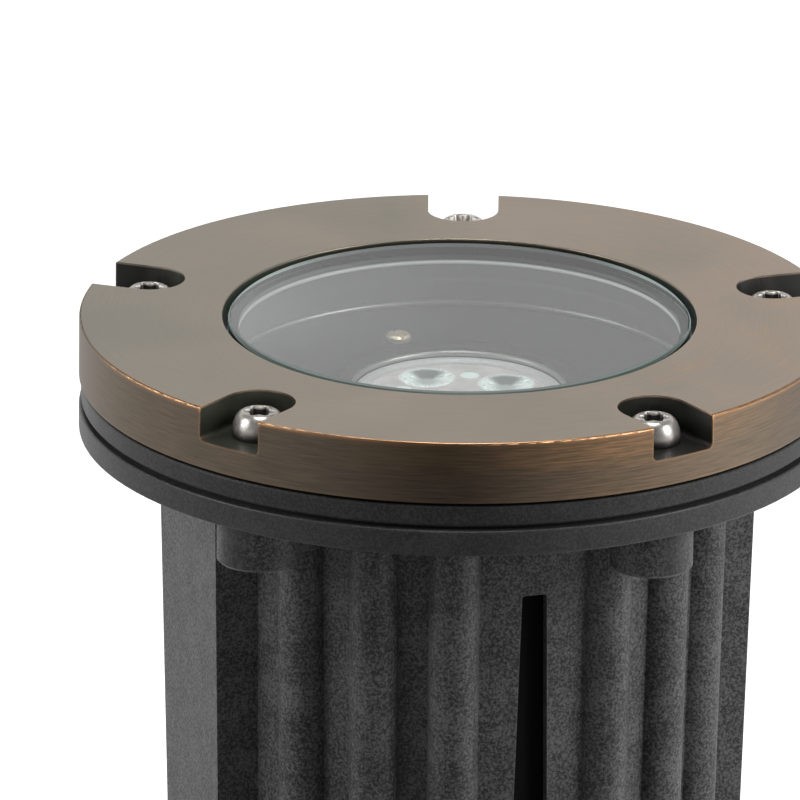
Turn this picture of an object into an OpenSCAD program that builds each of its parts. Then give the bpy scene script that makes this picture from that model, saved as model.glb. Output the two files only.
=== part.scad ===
// In-ground well light: a cast ring and a stepped glass lens on a sealed canister, which stands
// in a ribbed ground sleeve. A directional lamp hangs in a gimbal under the glass, and the gimbal
// turns on a swivel plate.
// Millimetres, +Z up. The origin is the centre of the sleeve's foot.

/* [Overall] */
// Height from the foot of the sleeve to the top of the ring
total_h = 216; // [206:1:280]

/* [Cover ring] */
// Width of the cast ring, from its bore to its outer edge
ring_w = 33.4; // [31:0.1:37]
// Thickness of the ring
ring_t = 14.8; // [13.8:0.1:16]
// Rounding of the ring's outer edges
ring_edge_r = 0.5; // [0.3:0.1:1.5]
// Width of the screw notches
notch_w = 16.8; // [15:0.2:19]
// Depth of the screw notches below the top face
notch_depth = 8.1; // [6.5:0.1:9]
// Fillet round the floor of a notch
notch_fillet_r = 1.2; // [0.4:0.1:2]
// Wall round the cored pockets in the underside
ring_core_wall = 4.4; // [3.5:0.1:5]
// Depth of the cored pockets
ring_core_depth = 7.5; // [5:0.5:8]
// Sweep of each cored pocket, in degrees
ring_core_sweep = 42; // [30:1:44]

/* [Cover screws] */
// Distance from the ring's edge to the screws' axes
screw_inset = 11.9; // [11:0.1:13]
// Number of screws
screw_count = 5; // [5]
// Thread diameter of the screws
screw_d = 6; // [5:0.5:6]
// Diameter of the domed heads
head_d = 12.4; // [11:0.1:13]
// Height of the domed heads, to the apex that the recess cuts off
head_h = 5.9; // [4.5:0.1:6.5]
// Width across the lobes of the drive recess
drive_d = 6.2; // [5:0.1:6.6]
// Depth of the drive recess
drive_depth = 3.2; // [2:0.1:3.6]
// Length of thread in the insert
screw_grip = 9; // [6:0.5:9.5]
// Outer diameter of the brass inserts
insert_d = 8.6; // [8:0.1:10]
// Length of the brass inserts
insert_len = 10.5; // [10:0.5:11.5]

/* [Lens] */
// Diameter of the glass that shows in the ring
lens_d = 108.2; // [104:0.1:110]
// Full thickness of the glass
lens_t = 8; // [7:0.5:9]
// Width of the step that the ring clamps
lens_rim_w = 4.6; // [3.5:0.1:5]
// Thickness of the stepped rim
lens_rim_t = 4; // [3:0.5:4.5]
// How far the glass lies below the ring's top face
lens_recess = 0.4; // [0.2:0.1:1]
// Polished chamfer on the glass edges
lens_chamfer = 0.6; // [0.3:0.1:1]
// Gap round the glass in the ring
lens_gap = 1.4; // [0.8:0.1:2]

/* [Seals] */
// Thickness of the lens seal over the glass rim
seal_leg_t = 0.8; // [0.6:0.1:1.2]
// Thickness of the lens seal under the glass
seal_foot_t = 1.2; // [0.8:0.1:2]
// Wall of the lens seal round the glass rim
seal_wall = 1.6; // [1:0.1:2]
// How far the lens seal's foot reaches in over the canister's bore
seal_lip_w = 4.4; // [2:0.1:5]
// Thickness of the gasket under the ring
cover_gasket_t = 0.7; // [0.5:0.1:1.2]
// Thickness of the gasket under the canister's flange
flange_gasket_t = 0.7; // [0.5:0.1:2]
// How far the gaskets lie in from the flange edges
gasket_inset = 2; // [1:0.1:3]

/* [Canister] */
// Thickness of the canister's flange
can_flange_t = 5.2; // [4:0.1:6]
// Rounding of the canister's flange edge
can_edge_r = 1.2; // [0.4:0.1:1.5]
// Wall thickness of the pot
can_wall = 2.8; // [2.4:0.1:3.2]
// Thickness of the pot's floor
can_floor_t = 4; // [3:0.5:6]
// Depth from the flange's top face to the underside of the floor
can_depth = 154.5; // [145:0.5:158]
// Width of the seat that the lens seal rests on
lens_seat_w = 2.6; // [2.2:0.1:3]
// Step in from the shoulder to the pot
pot_step = 2; // [1.5:0.1:2.5]
// Draft of the pot and the sleeve, in degrees
draft = 1.2; // [0.5:0.1:1.5]

/* [Ground sleeve] */
// Thickness of the sleeve's flange
sleeve_flange_t = 6.1; // [5:0.1:8]
// Wall thickness of the sleeve
sleeve_wall = 2.8; // [2.4:0.1:3.4]
// Radius of the half-round ribs
rib_r = 5.8; // [4:0.1:6]
// Number of rib stations round the sleeve
station_count = 20; // [20]
// How far the flat pads stand out from the wall
pad_rise = 5.9; // [5:0.1:8]
// Width of the flat pads at the flange
pad_w = 46.4; // [42:0.2:48]
// Wall thickness of the pads
pad_wall = 3; // [2.5:0.1:4]
// Diameter of the conduit entries in the pads
conduit_d = 27; // [22:0.5:28]
// Height of the conduit entries above the foot
conduit_z = 26; // [18:0.5:30]
// Diameter of the screw bosses under the flange
boss_d = 19.2; // [16:0.2:20]
// Height of the screw bosses
boss_h = 11; // [10.6:0.1:16]
// Fillet between the wall and the flange
root_fillet_r = 3; // [1:0.5:4]
// Width of the slots at their upper end
slot_w = 6; // [4:0.5:8]
// Drop from the flange to the upper end of the slots
slot_drop = 20.8; // [14:0.2:30]

/* [Swivel and gimbal] */
// Drop from the underside of the glass to the swivel plate
plate_drop = 14.4; // [13.5:0.1:15]
// Thickness of the swivel plate
plate_t = 1.5; // [1.2:0.1:2]
// Wire diameter of the snap ring over the plate
snap_wire_d = 1.6; // [1.2:0.1:1.8]
// Drop from the plate's top to the tilt axis
axis_drop = 11.2; // [10.5:0.1:13]
// Wall thickness of the gimbal ring
gimbal_wall = 3.1; // [2.5:0.1:3.5]
// Width of the lip that carries the lamp
gimbal_lip_w = 2.4; // [1.8:0.1:2.6]
// Height of the gimbal ring above and below the lamp's rim
gimbal_h = 17; // [16.6:0.1:18]
// Gap between the gimbal ring and the plate's opening
opening_gap = 2.8; // [2.2:0.1:4]
// Width of the two blocks that carry the pivots
block_w = 12; // [10:0.5:14]
// Thickness of the blocks
block_t = 7; // [6:0.5:8]
// Thread diameter of the screws that hold the blocks to the plate
block_screw_d = 3; // [2.5:0.5:3]
// Diameter of the pivot screws
pivot_d = 4; // [3:0.5:4.5]
// Diameter of the pivot bosses on the gimbal ring
pivot_boss_d = 8.8; // [8:0.1:9.2]
// Thickness of the friction washers
washer_t = 0.6; // [0.4:0.1:1]
// Direction of the tilt axis, in degrees from +X
axis_angle = 115; // [100:1:130]

/* [Lamp] */
// Face diameter of the lamp
lamp_d = 49.8; // [49:0.1:51]
// Rise of the lamp's face above the tilt axis
lamp_face_rise = 9.4; // [9:0.1:10]
// Thickness of the lamp's front bezel
bezel_t = 2.4; // [2:0.1:3]
// Radial width of the lamp's front bezel
bezel_w = 3.4; // [3:0.1:4]
// Thickness of the heat sink's rim
sink_rim_t = 1.6; // [1.2:0.1:2]
// Length of the heat sink below its rim
sink_len = 30.4; // [28:0.1:33]
// Number of cooling fins
fin_count = 24; // [18:1:28]
// Thickness of a fin
fin_t = 1.2; // [0.8:0.1:1.6]
// Number of light sources and lenses
led_count = 4; // [3:1:4]
// Turn of the light sources about the lamp's axis, in degrees
led_turn = -10.7; // [-45:0.1:45]
// Radius of the circle of light sources, as a share of the cup's radius
led_circle_share = 0.63; // [0.58:0.01:0.66]
// Thickness of the light source board
board_t = 1.6; // [1:0.1:2]
// Depth of the optic's cones under its face
cone_h = 9; // [7:0.5:10]
// Spacing of the lamp's pins
pin_pitch = 5.33; // [5:0.01:6.35]
// Diameter of the lamp's pins
pin_d = 1.5; // [1.4:0.05:1.6]

/* [Cable gland] */
// Thread diameter of the gland
gland_d = 20; // [16:0.5:20]
// Width across the flats of the gland's hexagon
gland_hex = 24; // [23:0.5:27]
// Bore of the gland's rubber bush
cable_d = 8.2; // [5:0.1:9]

/* [Hidden] */

$fn = 96;
cut = 1;               // overrun of every cut
running = 0.05;        // radial clearance of a turning fit
fit = 0.2;             // clearance of a loose fit
seat_gap = 0.05;       // play of a sliding face
swivel_gap = 0.3;      // radial play of the swivel plate in the neck
screw_clear = 0.4;     // radial clearance of a screw in its hole
edge_break = 0.5;      // chamfer on machined edges
pilot_gap = 0.6;       // radial clearance of the ring round the canister's neck
pot_gap = 0.9;         // radial clearance of the pot in the sleeve

// Directions round the light, with the front at -Y.
front_angle = -90;
station_angle = 360 / station_count;
pad_station = 6;
slot_station = 1;
bare_stations = 1;     // stations beside a pad with no rib
screw_angle = 90;
pad_angle = front_angle + pad_station * station_angle;
slot_angle = front_angle + slot_station * station_angle;

// Radii, from the glass outwards.
lens_r = lens_d / 2;
lens_rim_r = lens_r + lens_rim_w;
ring_bore_r = lens_r + lens_gap;
ring_r = ring_bore_r + ring_w;
seal_r = lens_rim_r + seal_wall;
neck_bore_r = lens_rim_r - lens_seat_w;
neck_r = seal_r + fit;
ring_counterbore_r = neck_r + pilot_gap;
shoulder_r = neck_bore_r + lens_seat_w;
pot_r = shoulder_r - pot_step;
pot_bore_r = pot_r - can_wall;
pilot_r = shoulder_r + 2 * fit;
sleeve_bore_r = pot_r + pot_gap;
sleeve_r = sleeve_bore_r + sleeve_wall;
screw_r = ring_r - screw_inset;
can_flange_r = ring_r - edge_break;
gasket_r = ring_r - gasket_inset;

// Levels, from the top down.
z_top = total_h;
z_lens_top = z_top - lens_recess;
z_lens_bottom = z_lens_top - lens_t;
z_lens_step = z_lens_bottom + lens_rim_t;
z_lip = z_lens_step + seal_leg_t;
z_neck = z_lens_bottom - seal_foot_t;
z_notch = z_top - notch_depth;
z_ring_under = z_top - ring_t;
z_can_top = z_ring_under - cover_gasket_t;
z_can_under = z_can_top - can_flange_t;
z_sleeve_top = z_can_under - flange_gasket_t;
z_sleeve_under = z_sleeve_top - sleeve_flange_t;
z_pot_under = z_can_top - can_depth;
z_pot_floor = z_pot_under + can_floor_t;
z_plate_top = z_lens_bottom - plate_drop;
z_plate_under = z_plate_top - plate_t;
z_ledge = z_plate_under - seat_gap;
z_axis = z_plate_top - axis_drop;
z_face = z_axis + lamp_face_rise;
z_rim = z_face - bezel_t;
z_rim_under = z_rim - sink_rim_t;
z_shoulder = z_sleeve_under + seat_gap;

// Half-thickness lost to the draft over a height.
function drafted(h) = h * tan(draft);

// Points of a circular arc about c, from angle a to angle b.
function arc(c, r, a, b, steps = 6) =
    [for (i = [0:steps]) c + r * [cos(a + (b - a) * i / steps), sin(a + (b - a) * i / steps)]];

// Copies children onto the screw circle.
module on_screw_circle() {
    for (i = [0:screw_count - 1])
        rotate([0, 0, screw_angle + i * 360 / screw_count]) translate([screw_r, 0, 0]) children();
}

// A flat ring between two radii, standing on z.
module washer(outer, inner, z, h) {
    translate([0, 0, z]) difference() {
        cylinder(r = outer, h = h);
        translate([0, 0, -cut]) cylinder(r = inner, h = h + 2 * cut);
    }
}

// The corner left outside a quarter circle, to be taken off an outline at [x, y].
module corner(x, y, sx, sy, r) {
    translate([x, y]) mirror([sx, 0]) mirror([0, sy]) difference() {
        translate([-cut, -cut]) square(r + cut);
        translate([r, r]) circle(r = r, $fn = 48);
    }
}

// Cover ring: a flat casting with a lip over the glass, five open notches and cored pockets beneath.
module ring_section() {
    difference() {
        translate([ring_bore_r, z_ring_under]) square([ring_r - ring_bore_r, ring_t]);
        translate([ring_bore_r - cut, z_ring_under - cut])
            square([ring_counterbore_r - ring_bore_r + cut, z_lip - z_ring_under + cut]);
        corner(ring_r, z_top, 1, 1, ring_edge_r);
        corner(ring_r, z_ring_under, 1, 0, ring_edge_r);
        corner(ring_bore_r, z_top, 0, 1, ring_edge_r / 2);
    }
}

// Half of a notch's section: a flat floor, a fillet and an upright wall.
function notch_half() = concat([[0, 0]],
    arc([notch_w / 2 - notch_fillet_r, notch_fillet_r], notch_fillet_r, -90, 0),
    [[notch_w / 2, notch_depth + cut], [0, notch_depth + cut]]);

module notch() {
    translate([0, 0, z_notch]) {
        rotate_extrude() polygon(notch_half());
        rotate([90, 0, 90]) linear_extrude(screw_inset + cut) {
            polygon(notch_half());
            mirror([1, 0]) polygon(notch_half());
        }
    }
}

module ring_core() {
    inner = ring_counterbore_r + ring_core_wall;
    outer = ring_r - ring_core_wall;
    rotate([0, 0, -ring_core_sweep / 2]) rotate_extrude(angle = ring_core_sweep)
        translate([inner, z_ring_under - cut]) square([outer - inner, ring_core_depth + cut]);
}

module cover_ring() {
    color("peru") difference() {
        rotate_extrude() ring_section();
        on_screw_circle() {
            notch();
            translate([0, 0, z_ring_under - cut]) cylinder(d = screw_d + 2 * screw_clear, h = ring_t);
        }
        for (i = [0:screw_count - 1])
            rotate([0, 0, screw_angle + (i + 0.5) * 360 / screw_count]) ring_core();
    }
}

// Cover screws: domed heads with a lobed drive, down into the inserts.
lobes = 6;
lobe_share = 0.22;        // of the recess radius
head_rim_share = 0.25;    // upright part of the head

module lobed_recess() {
    lobe_r = drive_d / 2 * lobe_share;
    union() {
        cylinder(r = drive_d / 2 - lobe_r, h = drive_depth + cut, $fn = 24);
        for (i = [0:lobes - 1])
            rotate([0, 0, i * 360 / lobes]) translate([drive_d / 2 - lobe_r, 0, 0])
                cylinder(r = lobe_r, h = drive_depth + cut, $fn = 16);
    }
}

module cover_screw() {
    tip = z_sleeve_top - screw_grip;
    rim_h = head_h * head_rim_share;
    dome_h = head_h - rim_h;
    dome_r = (pow(head_d / 2, 2) + pow(dome_h, 2)) / (2 * dome_h);
    translate([0, 0, tip]) cylinder(d = screw_d, h = z_notch - tip, $fn = 48);
    difference() {
        translate([0, 0, z_notch]) union() {
            cylinder(d = head_d, h = rim_h);
            translate([0, 0, rim_h]) intersection() {
                cylinder(d = head_d, h = dome_h);
                translate([0, 0, dome_h - dome_r]) sphere(r = dome_r);
            }
        }
        translate([0, 0, z_notch + head_h - drive_depth]) lobed_recess();
    }
}

module cover_screws() { color("silver") on_screw_circle() cover_screw(); }

// Glass lens: a thick disc whose stepped rim is clamped under the ring's lip.
module glass_lens() {
    color("lightcyan", 0.4) rotate_extrude($fn = 144) polygon([
        [0, z_lens_bottom], [lens_rim_r - lens_chamfer, z_lens_bottom],
        [lens_rim_r, z_lens_bottom + lens_chamfer], [lens_rim_r, z_lens_step], [lens_r, z_lens_step],
        [lens_r, z_lens_top - lens_chamfer], [lens_r - lens_chamfer, z_lens_top], [0, z_lens_top]]);
}

// Lens seal: a channel of silicone wrapped round the glass rim.
module lens_seal() {
    color("lightgray") rotate_extrude($fn = 144) polygon([
        [neck_bore_r - seal_lip_w, z_neck], [seal_r, z_neck], [seal_r, z_lip], [ring_bore_r, z_lip],
        [ring_bore_r, z_lens_step], [lens_rim_r, z_lens_step], [lens_rim_r, z_lens_bottom + lens_chamfer],
        [lens_rim_r - lens_chamfer, z_lens_bottom], [neck_bore_r - seal_lip_w, z_lens_bottom]]);
}

// Flat gaskets on either side of the canister's flange.
module flange_seal(inner, z, h) {
    difference() {
        washer(gasket_r, inner, z, h);
        on_screw_circle() translate([0, 0, z - cut])
            cylinder(d = screw_d + 3 * screw_clear, h = h + 2 * cut);
    }
}

module cover_gasket() {
    color("dimgray") flange_seal(ring_counterbore_r, z_can_top, cover_gasket_t);
}

module flange_gasket() {
    color("dimgray") flange_seal(pilot_r, z_sleeve_top, flange_gasket_t);
}

// Canister: a cast pot with a flange, a neck that carries the lens and a ledge for the swivel plate.
snap_bury_share = 0.56;   // of the wire, inside the groove
snap_r = neck_bore_r + (snap_bury_share - 1 / 2) * snap_wire_d;
z_snap = z_plate_top + seat_gap + snap_wire_d / 2;
groove_r = snap_r + snap_wire_d / 2 + seat_gap;

module canister_section() {
    pot_h = z_shoulder - z_pot_under;
    foot_r = pot_r - drafted(pot_h);
    floor_r = pot_bore_r - drafted(z_ledge - z_pot_floor);
    floor_edge = can_floor_t / 2;
    difference() {
        polygon(concat(
            [[0, z_pot_under]],
            arc([foot_r - floor_edge, z_pot_under + floor_edge], floor_edge, -90, 0),
            [[pot_r, z_shoulder], [shoulder_r, z_shoulder], [shoulder_r, z_can_under]],
            arc([can_flange_r - can_edge_r, z_can_under + can_edge_r], can_edge_r, -90, 0),
            arc([can_flange_r - edge_break, z_can_top - edge_break], edge_break, 0, 90, 3),
            [[neck_r, z_can_top], [neck_r, z_neck], [neck_bore_r, z_neck], [neck_bore_r, z_ledge],
            [pot_bore_r, z_ledge], [floor_r, z_pot_floor], [0, z_pot_floor]]));
        translate([neck_bore_r - cut, z_plate_top + seat_gap])
            square([groove_r - neck_bore_r + cut, snap_wire_d + seat_gap]);
    }
}

module canister() {
    color("darkslategray") difference() {
        rotate_extrude($fn = 144) canister_section();
        on_screw_circle() translate([0, 0, z_can_under - cut])
            cylinder(d = screw_d + 2 * screw_clear, h = can_flange_t + 2 * cut);
        translate([0, 0, z_pot_under - cut]) cylinder(d = gland_d + 2 * fit, h = can_floor_t + 2 * cut);
    }
}

// Ground sleeve: a drafted tube with half-round ribs, two flat conduit pads, screw bosses under the flange
// and two slots that widen down to the open foot.
sleeve_h = z_sleeve_under;

module sleeve_wall_solid() {
    rotate_extrude($fn = 144) polygon(concat(
        [[0, 0], [sleeve_r - drafted(sleeve_h), 0]],
        arc([sleeve_r + root_fillet_r, sleeve_h - root_fillet_r], root_fillet_r, 180 - draft, 90, 4),
        [[sleeve_r + root_fillet_r, sleeve_h + cut], [0, sleeve_h + cut]]));
}

module sleeve_flange() {
    rotate_extrude($fn = 144) difference() {
        translate([sleeve_bore_r, z_sleeve_under]) square([ring_r - sleeve_bore_r, sleeve_flange_t]);
        corner(ring_r, z_sleeve_top, 1, 1, edge_break);
        corner(ring_r, z_sleeve_under, 1, 0, edge_break);
    }
}

// A rib leans in with the draft; its foot is cut level afterwards.
module rib() {
    translate([sleeve_r, 0, sleeve_h]) mirror([0, 0, 1]) rotate([0, -draft, 0])
        translate([0, 0, -cut / 2]) cylinder(r = rib_r, h = sleeve_h / cos(draft) + 2 * cut, $fn = 48);
}

// Outline of a pad or of its core in the plane across it, narrowing downwards with the draft.
module pad_prism(reach, half_w, z0, z1) {
    intersection() {
        rotate([90, 0, 90]) linear_extrude(reach + cut) polygon([
            [-half_w + drafted(sleeve_h - z0), z0], [half_w - drafted(sleeve_h - z0), z0],
            [half_w - drafted(sleeve_h - z1), z1], [-half_w + drafted(sleeve_h - z1), z1]]);
        rotate([90, 0, 0]) translate([0, 0, -half_w - cut]) linear_extrude(2 * (half_w + cut)) polygon([
            [0, z0], [reach - drafted(sleeve_h - z0), z0], [reach - drafted(sleeve_h - z1), z1], [0, z1]]);
    }
}

slot_corner_share = 0.25;   // corner radius, of the half-width

module slot_wedge() {
    z1 = sleeve_h - slot_drop;
    r = slot_w / 2 * slot_corner_share;
    half_top = slot_w / 2;
    half_foot = half_top + drafted(z1);
    rotate([90, 0, 90]) linear_extrude(ring_r) polygon(concat(
        [[-half_foot, -cut], [half_foot, -cut]],
        arc([half_top - r, z1 - r], r, 0, 90), arc([-half_top + r, z1 - r], r, 90, 180)));
}

module sleeve_bosses() {
    top = z_sleeve_under + edge_break;
    on_screw_circle() translate([0, 0, z_sleeve_under - boss_h]) {
        cylinder(d1 = boss_d - 2 * edge_break, d2 = boss_d, h = edge_break);
        translate([0, 0, edge_break]) cylinder(d = boss_d, h = boss_h);
    }
}

module ground_sleeve() {
    bore_foot = sleeve_bore_r - drafted(sleeve_h);
    core_top = z_sleeve_under - pad_wall;
    color("darkgray") difference() {
        union() {
            intersection() {
                union() {
                    sleeve_wall_solid();
                    for (i = [0:station_count - 1])
                        if (!pad_near(i) && !slot_at(i))
                            rotate([0, 0, front_angle + i * station_angle]) rib();
                    for (side = [0, 180]) rotate([0, 0, pad_angle + side])
                        pad_prism(sleeve_r + pad_rise, pad_w / 2, 0, z_sleeve_under + cut);
                }
                cylinder(r = ring_r, h = z_sleeve_under + cut);
            }
            sleeve_flange();
            sleeve_bosses();
        }
        translate([0, 0, -cut]) cylinder(r1 = bore_foot - drafted(cut), r2 = sleeve_bore_r,
            h = z_sleeve_under + cut, $fn = 144);
        translate([0, 0, z_sleeve_under]) cylinder(r = pilot_r, h = sleeve_flange_t + cut, $fn = 144);
        for (side = [0, 180]) rotate([0, 0, pad_angle + side]) {
            pad_prism(sleeve_r + pad_rise - pad_wall, pad_w / 2 - pad_wall, -cut, core_top);
            translate([0, 0, conduit_z]) rotate([0, 90, 0]) cylinder(d = conduit_d, h = ring_r);
        }
        for (side = [0, 180]) rotate([0, 0, slot_angle + side]) slot_wedge();
        on_screw_circle() translate([0, 0, z_sleeve_top - insert_len - screw_clear])
            cylinder(d = insert_d, h = insert_len + screw_clear + cut, $fn = 48);
    }
}

// Whether station i lies on or beside a pad, and whether it is a slot's.
function station_gap(i, j) = min((i - j + 2 * station_count) % (station_count / 2),
    (j - i + 2 * station_count) % (station_count / 2));
function pad_near(i) = station_gap(i, pad_station) <= bare_stations;
function slot_at(i) = station_gap(i, slot_station) == 0;

module threaded_inserts() {
    color("gold") on_screw_circle() translate([0, 0, z_sleeve_top - insert_len]) difference() {
        cylinder(d = insert_d, h = insert_len, $fn = 48);
        translate([0, 0, -cut]) cylinder(d = screw_d + running, h = insert_len + 2 * cut, $fn = 48);
    }
}

// Snap ring: round wire in the neck's groove, over the edge of the swivel plate.
snap_sweep = 338;

module snap_ring() {
    color("silver") translate([0, 0, z_snap]) rotate([0, 0, front_angle + (360 - snap_sweep) / 2])
        rotate_extrude(angle = snap_sweep, $fn = 144)
            translate([snap_r, 0]) circle(d = snap_wire_d, $fn = 24);
}

// Swivel plate: a flat ring on the canister's ledge. Two blocks are screwed to its underside.
lamp_r = lamp_d / 2;
gimbal_bore_r = lamp_r + 2 * fit;
gimbal_r = gimbal_bore_r + gimbal_wall;
boss_rise = 2;
boss_face_r = gimbal_r + boss_rise;
block_r = boss_face_r + washer_t + 2 * seat_gap;
block_screw_r = block_r + block_t / 2;
block_screw_len = 4.5;
block_head_d = 6;
block_head_h = 1.5;
opening_r = gimbal_r + opening_gap;
plate_r = neck_bore_r - swivel_gap;

// Copies children to both ends of the tilt axis.
module on_tilt_axis() {
    for (side = [0, 180]) rotate([0, 0, axis_angle + side]) children();
}

module swivel_plate() {
    color("dimgray") difference() {
        washer(plate_r, opening_r, z_plate_under, plate_t);
        on_tilt_axis() translate([block_screw_r, 0, z_plate_under - cut])
            cylinder(d = block_screw_d + fit, h = plate_t + 2 * cut, $fn = 32);
    }
}

module pivot_block() {
    difference() {
        union() {
            translate([block_r, 0, z_axis]) rotate([0, 90, 0]) cylinder(d = block_w, h = block_t);
            translate([block_r, -block_w / 2, z_axis]) cube([block_t, block_w, z_plate_under - z_axis]);
        }
        translate([block_r - cut, 0, z_axis]) rotate([0, 90, 0])
            cylinder(r = pivot_d / 2 + running, h = block_t + 2 * cut, $fn = 48);
        translate([block_screw_r, 0, z_plate_under - block_screw_len - screw_clear])
            cylinder(d = block_screw_d, h = block_screw_len + screw_clear + cut, $fn = 32);
    }
}

module pivot_blocks() { color("slategray") on_tilt_axis() pivot_block(); }

// Block screws: low heads on the plate, with a plain slot.
module block_screws() {
    head_r = block_head_d / 2;
    slot_h = block_head_h / 2;
    color("goldenrod") on_tilt_axis() translate([block_screw_r, 0, z_plate_top]) difference() {
        rotate_extrude($fn = 48) polygon([
            [0, -plate_t - block_screw_len], [block_screw_d / 2, -plate_t - block_screw_len],
            [block_screw_d / 2, 0], [head_r, 0], [head_r, block_head_h - edge_break],
            [head_r - edge_break, block_head_h], [0, block_head_h]]);
        translate([-head_r - cut, -slot_h / 2, block_head_h - slot_h])
            cube([2 * (head_r + cut), slot_h, slot_h + cut]);
    }
}

// Gimbal ring: carries the lamp by its rim between two pivot bosses.
lip_t = 2;
clip_wire_d = 1.4;
clip_land = 0.8;
z_gimbal_top = z_face + clip_wire_d + clip_land;
z_gimbal_under = z_gimbal_top - gimbal_h;
clip_r = gimbal_bore_r;
z_clip = z_face + clip_wire_d / 2;

module gimbal_section() {
    difference() {
        translate([gimbal_bore_r - gimbal_lip_w, z_gimbal_under])
            square([gimbal_wall + gimbal_lip_w, gimbal_h]);
        translate([gimbal_bore_r - gimbal_lip_w - cut, z_rim_under])
            square([gimbal_lip_w + cut, z_gimbal_top - z_rim_under + cut]);
        translate([gimbal_bore_r - gimbal_lip_w - cut, z_gimbal_under - cut])
            square([gimbal_lip_w + cut, z_rim_under - lip_t - z_gimbal_under + cut]);
        translate([gimbal_bore_r - cut, z_face])
            square([clip_wire_d / 2 + seat_gap + cut, clip_wire_d + seat_gap]);
        corner(gimbal_r, z_gimbal_top, 1, 1, edge_break);
        corner(gimbal_r, z_gimbal_under, 1, 0, edge_break);
    }
}

module gimbal_ring() {
    color("black") difference() {
        union() {
            rotate_extrude($fn = 144) gimbal_section();
            on_tilt_axis() intersection() {
                translate([gimbal_bore_r, 0, z_axis]) rotate([0, 90, 0])
                    cylinder(d = pivot_boss_d, h = boss_face_r - gimbal_bore_r, $fn = 48);
                washer(boss_face_r + cut, gimbal_bore_r + gimbal_wall / 2, z_gimbal_under, gimbal_h);
            }
        }
        on_tilt_axis() translate([0, 0, z_axis]) rotate([0, 90, 0])
            cylinder(d = pivot_d, h = boss_face_r + cut, $fn = 48);
    }
}

// Pivot screws: threaded into the gimbal ring and turning in the blocks.
pivot_head_h = 2.4;
pivot_head_d = 7;

module pivot_screws() {
    start = gimbal_bore_r + seat_gap + gimbal_wall / 4;
    seat = block_r + block_t + seat_gap;
    end = seat + pivot_head_h;
    head_r = pivot_head_d / 2;
    slot_h = pivot_head_h / 3;
    color("goldenrod") on_tilt_axis() translate([0, 0, z_axis])
        rotate([0, 90, 0]) difference() {
            rotate_extrude() polygon([
                [0, start], [pivot_d / 2, start], [pivot_d / 2, seat], [head_r, seat],
                [head_r, end - edge_break], [head_r - edge_break, end], [0, end]]);
            translate([-head_r - cut, -slot_h / 2, end - slot_h])
                cube([2 * (head_r + cut), slot_h, slot_h + cut]);
        }
}

module pivot_washers() {
    color("white") on_tilt_axis() translate([0, 0, z_axis])
        rotate([0, 90, 0]) washer(pivot_boss_d / 2 - seat_gap, pivot_d / 2, boss_face_r, washer_t);
}

// Lamp clip: a wire ring that holds the lamp's rim down in the gimbal.
clip_sweep = 320;

module lamp_clip() {
    color("silver") translate([0, 0, z_clip]) rotate([0, 0, front_angle + (360 - clip_sweep) / 2])
        rotate_extrude(angle = clip_sweep, $fn = 144)
            translate([clip_r, 0]) circle(d = clip_wire_d, $fn = 24);
}

// Lamp: bezel, moulded optic, light source board, finned heat sink and two-pin base.
led_h = 1.2;
led_w = 3.4;
optic_lap = 0.7;
optic_seat_w = 1;
peg_r = 2.3;
peg_h = 0.3;
bezel_bore_r = lamp_r - bezel_w;
optic_r = bezel_bore_r + optic_lap;
cup_r = optic_r - optic_seat_w;
z_optic = z_face - bezel_t / 3;
optic_face_t = z_optic - z_rim;
z_board = z_optic - optic_face_t - cone_h - led_h;
z_cup_floor = z_board - board_t;
led_r = cup_r * led_circle_share;
cone_top_r = min(led_r * sin(180 / led_count), cup_r - led_r) - fit;
cone_foot_r = cone_top_r / 2;
dish_r_share = 0.8;       // of the cone's upper radius
dish_depth_share = 0.6;   // of the optic's face

// Copies children onto the circle of light sources, or midway between them.
module on_led_circle(between = 0) {
    for (i = [0:led_count - 1])
        rotate([0, 0, 90 + led_turn + (i + (1 - between) / 2) * 360 / led_count])
            translate([led_r, 0, 0]) children();
}

module lamp_bezel() {
    land_w = bezel_w / 4;
    step_h = (z_face - z_optic) / 2;
    color("silver") rotate_extrude($fn = 144) polygon([
        [lamp_r, z_rim], [lamp_r, z_face - edge_break], [lamp_r - edge_break, z_face],
        [lamp_r - 2 * land_w, z_face], [lamp_r - 3 * land_w, z_optic + step_h],
        [bezel_bore_r, z_optic + step_h], [bezel_bore_r, z_optic], [optic_r + seat_gap, z_optic],
        [optic_r + seat_gap, z_rim]]);
}

module lamp_optic() {
    dish_r = cone_top_r * dish_r_share;
    dish_depth = optic_face_t * dish_depth_share;
    sphere_r = (pow(dish_r, 2) + pow(dish_depth, 2)) / (2 * dish_depth);
    color("lightcyan", 0.5) difference() {
        union() {
            translate([0, 0, z_rim]) cylinder(r = optic_r, h = optic_face_t);
            on_led_circle(between = 1) translate([0, 0, z_rim])
                cylinder(r = peg_r, h = optic_face_t + peg_h, $fn = 48);
            on_led_circle() rotate_extrude($fn = 64) polygon([
                [0, z_rim - cone_h], [cone_foot_r, z_rim - cone_h], [cone_top_r, z_rim],
                [cone_top_r, z_rim + optic_face_t / 4], [0, z_rim + optic_face_t / 4]]);
        }
        on_led_circle() translate([0, 0, z_optic + sphere_r - dish_depth]) sphere(r = sphere_r);
    }
}

module led_board() {
    color("white") translate([0, 0, z_cup_floor]) cylinder(r = cup_r - fit, h = board_t);
}

module led_chips() {
    color("gold") on_led_circle() translate([-led_w / 2, -led_w / 2, z_board]) cube([led_w, led_w, led_h]);
}

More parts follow.
